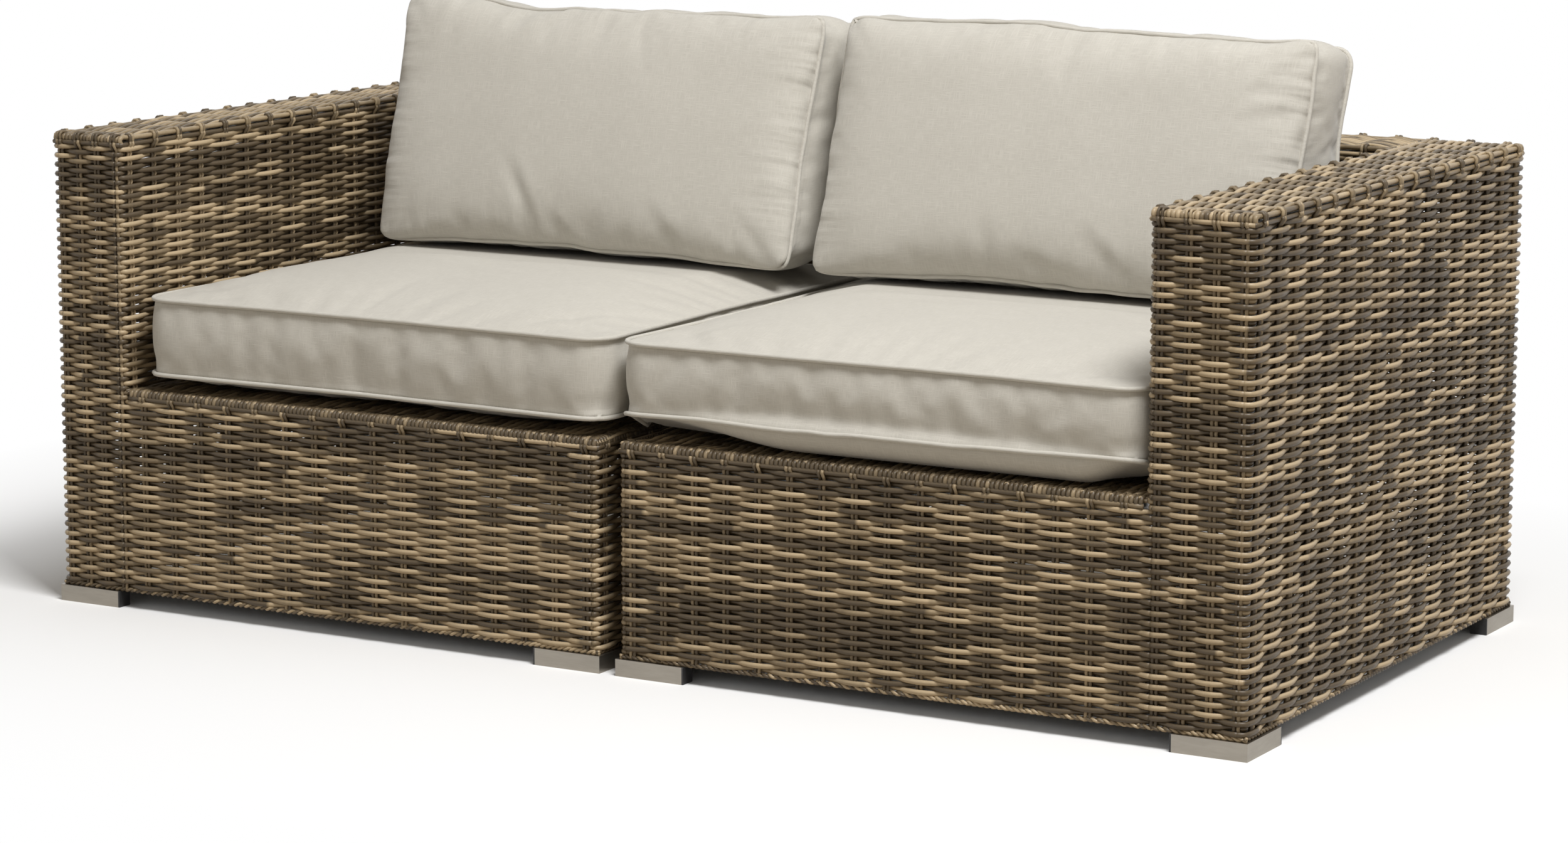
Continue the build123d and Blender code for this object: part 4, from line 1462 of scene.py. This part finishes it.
def sag_belly(shape, points, panel_size):
    """Raises the lower front seam of a seat cushion and lets the panel under it hang out
    below: it leaves the seam straight down, bellies out by a half sine and turns in to the
    deck."""
    along = points[:, 0] * shape["right"] / shape["width"]
    share = ease(np.clip((along + 0.5) / lift_share, 0.0, 1.0))
    least, most = front_lift[shape["side"]]
    lift = least + (most - least) * share
    from_front = shape["high"] - points[:, 1]
    front = ease(np.clip((lift_depths[0] - from_front) / lift_depths[1], 0.0, 1.0))
    raised = points[:, 2] - lift * front * np.clip(points[:, 2] / shape["boxing"], 0.0, 1.0)

    away = np.clip(from_front / belly_turn, 0.0, 1.0)
    end = np.clip((shape["width"] / 2 - np.abs(points[:, 0])) / belly_end, 0.0, 1.0)
    rest = ease(np.clip((0.5 - along) / rest_share, 0.0, 1.0))
    grow = belly_least + (1 - belly_least) * share * rest
    deck = shape["boxing"] + seat_belly
    seam = shape["boxing"] - lift
    hung = seam + (deck - seam) * grow * ease(away)
    inward = np.clip((from_front - belly_turn) / belly_inward, 0.0, 1.0)
    hung = hung + (deck - hung) * inward
    below = np.zeros(len(points), bool)
    below[panel_size:2 * panel_size] = True
    hangs = below & (front > belly_front_share)
    points[:, 2] = np.where(hangs, hung, raised)
    points[:, 1] += np.where(hangs, belly_out * np.sin(math.pi * away) * end * grow, 0.0)


def press_flat(shape, points):
    """Holds a panel under the arc of its crown where something leans on it: the top of a
    seat cushion under the back cushion, and the whole rear of a back cushion."""
    number = ("seat", "back").index(shape["kind"])
    sign = 2 * number - 1
    low = shape["low"] + shape["rise"] * number
    most = arc_rise(low, shape["high"], shape["crowns"][number], points[:, 1])
    over = np.maximum(sign * (points[:, 2] - shape["boxing"] * number) - most, 0.0)
    if shape["kind"] == "seat":
        over = over * np.clip((held_depths[0] - points[:, 1]) / held_depths[1], 0.0, 1.0)
    points[:, 2] -= sign * over


def keep_clear(shape, place):
    """Keeps a cover off the seat, the arm, the back, its neighbour and the cushion below."""
    if shape["kind"] == "seat":
        module = modules[shape["side"]]
        arm = module["outer"] - module["sign"] * (module["arm"] + 2 * touch_gap)
        bounds = sorted((arm, module["sign"] * touch_gap))
        place[:, 0] = np.clip(place[:, 0], *bounds)
        place[:, 1] = np.minimum(place[:, 1], module["back"] - 2 * touch_gap)
        place[:, 2] = np.maximum(place[:, 2], module["rim"] + touch_gap)
    else:
        seat = cushion_shape("seat", shape["side"])
        crown = arc_rise(seat["low"], seat["high"], seat_crown, -place[:, 1])
        place[:, 2] = np.maximum(place[:, 2], seat["origin"][2] + touch_gap + crown)


def hold_back(cover):
    """Caps how far the cloth moved, folds and puckers it, settles it and keeps it off its
    neighbours."""
    shape, start = cover["shape"], cover["start"]
    kind, cap = shape["kind"], move_cap[shape["kind"]]
    moved = cover["swollen"] - start
    far = np.linalg.norm(moved, axis=1, keepdims=True)
    points = start + moved * (cap * np.tanh(far / cap) / np.maximum(far, 1e-9))
    way = outward(cover["quads"], points)
    broad = hash_noise(points[:, 0] / broad_lengths[0] + 20.0, 5.0 + points[:, 1].mean()) - 0.5
    broad = broad + hash_noise(points[:, 1] / broad_lengths[1] + 40.0, 9.0) - 0.5
    shift = cover["pucker"] + fold_field(shape, points) + broad_wave[kind] * broad
    shift[np.concatenate(cover["seams"])] = 0.0
    points = points + way * shift[:, None]
    if kind == "back":
        settle_back(shape, points)
    elif shape["side"] in front_lift:
        sag_belly(shape, points, cover["panel_size"])
    press_flat(shape, points)
    place = shape_to_world(shape, points)
    keep_clear(shape, place)
    cover["place"] = place
    mesh = cover["piece"].data
    mesh.vertices.foreach_set("co", place.astype(np.float32).ravel())
    mesh.update()


def squeezed_noise(tree, sheet, scales, detail, roughness):
    """A noise on the cloth's own places, long one way and fine the other."""
    squeeze = add_node(tree, "Mapping", {"Vector": sheet, "Scale": (*scales, 1.0)})
    return add_node(tree, "TexNoise", {
        "Vector": squeeze.outputs["Vector"], "Scale": 1.0, "Detail": detail,
        "Roughness": roughness,
    }).outputs["Fac"]


def new_cloth(name):
    """Cloth with a fine nap that lightens it at a slant."""
    material, tree, shader = new_material(name, cloth_light, cloth_roughness)
    for socket, value in cloth_sheen.items():
        shader.inputs[socket].default_value = value
    return material, tree, shader


def cloth_material():
    """Greige outdoor cloth: threads of uneven thickness both ways, a faint mottle, and the
    short folds that the seams gather, where the two masks say."""
    material, tree, shader = new_cloth("slub_cloth")
    sheet = add_node(tree, "UVMap", uv_map="cloth").outputs["UV"]
    threads = [
        squeezed_noise(tree, sheet, scales, 2.0, 0.6)
        for scales in (thread_scales, thread_scales[::-1])
    ]
    weave = add_math(tree, "MAXIMUM", *threads)
    cloud = add_mottle(tree, object_place(tree), *cloud_scales)
    blend = add_node(tree, "Mix", {
        "Factor": cloud_share, "A": add_range(tree, weave, 0.0, 1.0, *thread_range),
        "B": add_range(tree, cloud, 0.0, 1.0),
    }, data_type="FLOAT")
    add_tint(tree, shader, blend.outputs["Result"], cloth_dark, cloth_light)
    thread_bump = add_bump(tree, shader, weave, thread_depth, thread_strength)
    gathers = []
    for label, scales in (
        ("gather_across", gather_scales), ("gather_along", gather_scales[::-1]),
    ):
        waves = squeezed_noise(tree, sheet, scales, 1.0, 0.5)
        mask = add_node(tree, "Attribute", attribute_name=label).outputs["Fac"]
        gathers.append(add_math(tree, "MULTIPLY", waves, mask))
    add_bump(tree, thread_bump, add_math(tree, "ADD", *gathers), gather_depth)
    return material


def welt_material():
    """The same cloth cut on the bias: threads run slantwise round the cord."""
    material, tree, shader = new_cloth("bias_cloth")
    turn = add_node(tree, "Mapping", {
        "Vector": object_place(tree), "Rotation": bias_turn, "Scale": bias_squeeze,
    })
    threads = add_mottle(tree, turn.outputs["Vector"], *bias_scales)
    add_tint(tree, shader, add_range(tree, threads, 0.0, 1.0), cloth_dark, cloth_light)
    add_bump(tree, shader, threads, bias_depth, bias_strength)
    return material


cloth = cloth_material()
bias_cloth = welt_material()
zip_cloth = moulded_plastic("zip_tape", tape_dark, tape_light, tape_roughness)
pull_metal = drawn_metal("zip_pull", pull_grey, pull_roughness, even_grain)


def finish_cover(cover):
    """Gives the cover its modifier, material and place in the frame, and sews on the welts:
    each follows its seam with the corners cut once, a little outside it."""
    shape, piece = cover["shape"], cover["piece"]
    body = f"{shape['kind']}_cushion_{shape['side']}"
    smooth = piece.modifiers.new("soft", "SUBSURF")
    smooth.levels = smooth.render_levels = 1
    piece.data.materials.append(cloth)
    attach(piece, body)
    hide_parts(f"{body}_cover", f"{body}_filling")

    tubes = Tubes()
    mid = (shape["low"] + shape["high"]) / 2
    half = np.array([shape["width"] / 2, (shape["high"] - shape["low"]) / 2, 1.0])
    for seam, inward in zip(cover["seams"], (shape["axes"][2], -shape["axes"][2])):
        path = cover["place"][seam]
        after = np.roll(path, -1, 0)
        near, far = 1 - welt_corner_cut, welt_corner_cut
        path = np.stack([near * path + far * after, far * path + near * after], 1)
        path = path.reshape(-1, 3)
        closed = np.concatenate([path, path[:2]])
        local = to_shape(shape, closed)
        out = ((local - np.array([0.0, mid, local[0, 2]])) / half) ** welt_square
        out = out / np.linalg.norm(out, axis=1, keepdims=True) @ shape["axes"]
        centre = closed + welt_out[shape["kind"]] * out - welt_sink * inward
        tubes.add(centre[None], out[None], welt_radius, welt_radius, plain_tone, welt_sides)
    tubes.build(f"{body}_welts", bias_cloth, [f"{body}_piping"], body)


def add_zip(cover):
    """Two tapes, the coil between them and a slider with its pull, along the hidden side."""
    shape = cover["shape"]
    body = f"{shape['kind']}_cushion_{shape['side']}"
    ring = cover["rings"][boxing_cells[shape["kind"]] // 2]
    down, wide = cover["counts"]
    run = np.concatenate([ring[2 * down + wide:], ring[:1]])
    keep = int(round(len(run) * (1 - zip_share) / 2))
    path = cover["place"][run][keep:-keep]
    path = (path + np.roll(path, 1, 0) + np.roll(path, -1, 0))[1:-1] / 3
    steps = np.linspace(0, len(path) - 1, zip_steps * len(path))
    whole = np.arange(len(path))
    path = np.stack([np.interp(steps, whole, path[:, i]) for i in range(3)], -1)
    out, across = -shape["axes"][1], shape["axes"][2]
    teeth = coil_step * np.sin(np.arange(len(path)) * math.pi)[:, None]
    tubes = Tubes()
    for sign in (-1, 1):
        tape = path + sign * tape_middle * across + tape_out * out
        tubes.add(tape[None], across[None, None], tape_half, tape_thickness, tape_tone)
        coil = path + sign * (coil_middle + teeth) * across + coil_out * out
        tubes.add(coil[None], out[None, None], *coil_halves, coil_tone)
    tubes.build(f"{body}_tapes", zip_cloth, [f"{body}_zip"], body)

    tubes = Tubes()
    last = len(path) - slider_back
    way = path[last + 3] - path[last - 3]
    way = way / np.linalg.norm(way)
    for ends, lift, depths, widths in (
        ((-slider_half, slider_half), slider_out, slider_depths, slider_widths),
        (tuple(-end for end in pull_ends), pull_out, pull_thickness, pull_widths),
    ):
        line = path[last] + np.linspace(*ends, widths.size)[:, None] * way + lift * out
        tubes.add(line[None], out[None, None], depths, widths, plain_tone, welt_sides)
    tubes.build(f"{body}_pull", pull_metal, [], body)


covers = [
    build_cover(cushion_shape(kind, side), 3.0 + 20.0 * number)
    for number, (kind, side) in enumerate((k, s) for k in ("seat", "back") for s in sides)
]
swell(covers)
for cover in covers:
    hold_back(cover)
    finish_cover(cover)
    add_zip(cover)


# The floor, the lights and the camera.
# A pale studio floor that fades to white, a wide soft light from the upper right, a faint
# one from the front left, and a camera where the photograph was taken.

white = (1.0, 1.0, 1.0)
floor_size = 12.0
floor_bounce = (0.46, 0.41, 0.34)
floor_pale = (0.90, 0.90, 0.90)
floor_roughness = 0.9
floor_fade = (0.04, 0.75)
world_tint = (1.0, 0.95, 0.87)
world_strength = 0.29
lamps = {
    "key_light": ((2.15, -1.5, 4.8), (1.7, 1.7), 268.0),
    "fill_light": ((-2.6, -4.6, 2.6), (2.2, 2.0), 14.0),
}
lamp_target = (0.0, 0.0, 0.35)
focal_length = 98.73
sensor_width = 36.0
farthest_view = 60.0
camera_place = (2.6158, -4.5324, 1.1578)
camera_yaw = 29.94
camera_pitch = 9.96
camera_roll = 0.08


def seen_straight(tree):
    """1 where a ray comes from the camera, a mirror or clear glass, and 0 elsewhere."""
    path = add_node(tree, "LightPath").outputs
    either = add_math(tree, "MAXIMUM", path["Is Camera Ray"], path["Is Glossy Ray"])
    return add_math(tree, "MAXIMUM", either, path["Is Transmission Ray"])


def lay_floor():
    """A floor that is paint beside the sofa and glows white further out: the fade follows
    the distance from the sofa's box."""
    mesh = bpy.data.meshes.new("studio_floor")
    corners = [
        (x * floor_size, y * floor_size, 0.0) for x, y in ((-1, -1), (1, -1), (1, 1), (-1, 1))
    ]
    mesh.from_pydata(corners, [], [(0, 1, 2, 3)])
    floor = add_object("studio_floor", mesh)
    material, tree, shader = new_material("floor_paint", floor_pale, floor_roughness)
    value = object_place(tree)
    for operation, other in (("ABSOLUTE", {}), ("SUBTRACT", {1: cad_box[1]}), ("MAXIMUM", {})):
        step = add_node(tree, "VectorMath", {0: value, **other}, operation=operation)
        value = step.outputs["Vector"]
    away = add_node(tree, "VectorMath", {0: value}, operation="LENGTH").outputs["Value"]
    seen = seen_straight(tree)
    add_tint(tree, shader, seen, floor_bounce, floor_pale)
    glow = add_node(tree, "Emission", {"Color": (*white, 1.0), "Strength": 1.0})
    fade = add_math(tree, "MULTIPLY", seen, add_range(tree, away, 0.0, 1.0, *floor_fade))
    blend = add_node(tree, "MixShader", {
        "Fac": fade, 1: shader.outputs["BSDF"], 2: glow.outputs["Emission"],
    })
    tree.links.new(blend.outputs["Shader"], tree.nodes["Material Output"].inputs["Surface"])
    mesh.materials.append(material)


def light_world():
    """White where it is seen, and a plain warm light on everything else."""
    world = bpy.data.worlds.new("studio")
    scene.world = world
    world.use_nodes = True
    tree = world.node_tree
    plain = tree.nodes["Background"]
    plain.inputs["Color"].default_value = (*world_tint, 1.0)
    plain.inputs["Strength"].default_value = world_strength
    bright = add_node(tree, "Background", {"Color": (*white, 1.0), "Strength": 1.0})
    mix = add_node(tree, "MixShader", {
        "Fac": seen_straight(tree), 1: plain.outputs["Background"], 2: bright.outputs["Background"],
    })
    tree.links.new(mix.outputs["Shader"], tree.nodes["World Output"].inputs["Surface"])


def add_lamp(name, place, size, power):
    """A rectangular area light that faces the sofa."""
    lamp = bpy.data.lights.new(name, "AREA")
    lamp.shape = "RECTANGLE"
    lamp.size, lamp.size_y = size
    lamp.energy = power
    holder = add_object(name, lamp)
    holder.location = place
    way = Vector(lamp_target) - Vector(place)
    holder.rotation_euler = way.to_track_quat("-Z", "Y").to_euler()


def place_camera():
    """Looks along the yaw and pitch fitted to the photograph."""
    data = bpy.data.cameras.new("photo_camera")
    data.lens = focal_length
    data.sensor_width = sensor_width
    data.clip_end = farthest_view
    camera = add_object("photo_camera", data)
    yaw, pitch, roll = (math.radians(a) for a in (camera_yaw, camera_pitch, camera_roll))
    ahead = Vector((
        -math.sin(yaw) * math.cos(pitch), math.cos(yaw) * math.cos(pitch), -math.sin(pitch),
    ))
    camera.location = camera_place
    facing = ahead.to_track_quat("-Z", "Y").to_euler()
    facing.rotate_axis("Z", roll)
    camera.rotation_euler = facing
    scene.camera = camera


lay_floor()
light_world()
for name, values in lamps.items():
    add_lamp(name, *values)
place_camera()
scene.view_settings.view_transform = "Standard"
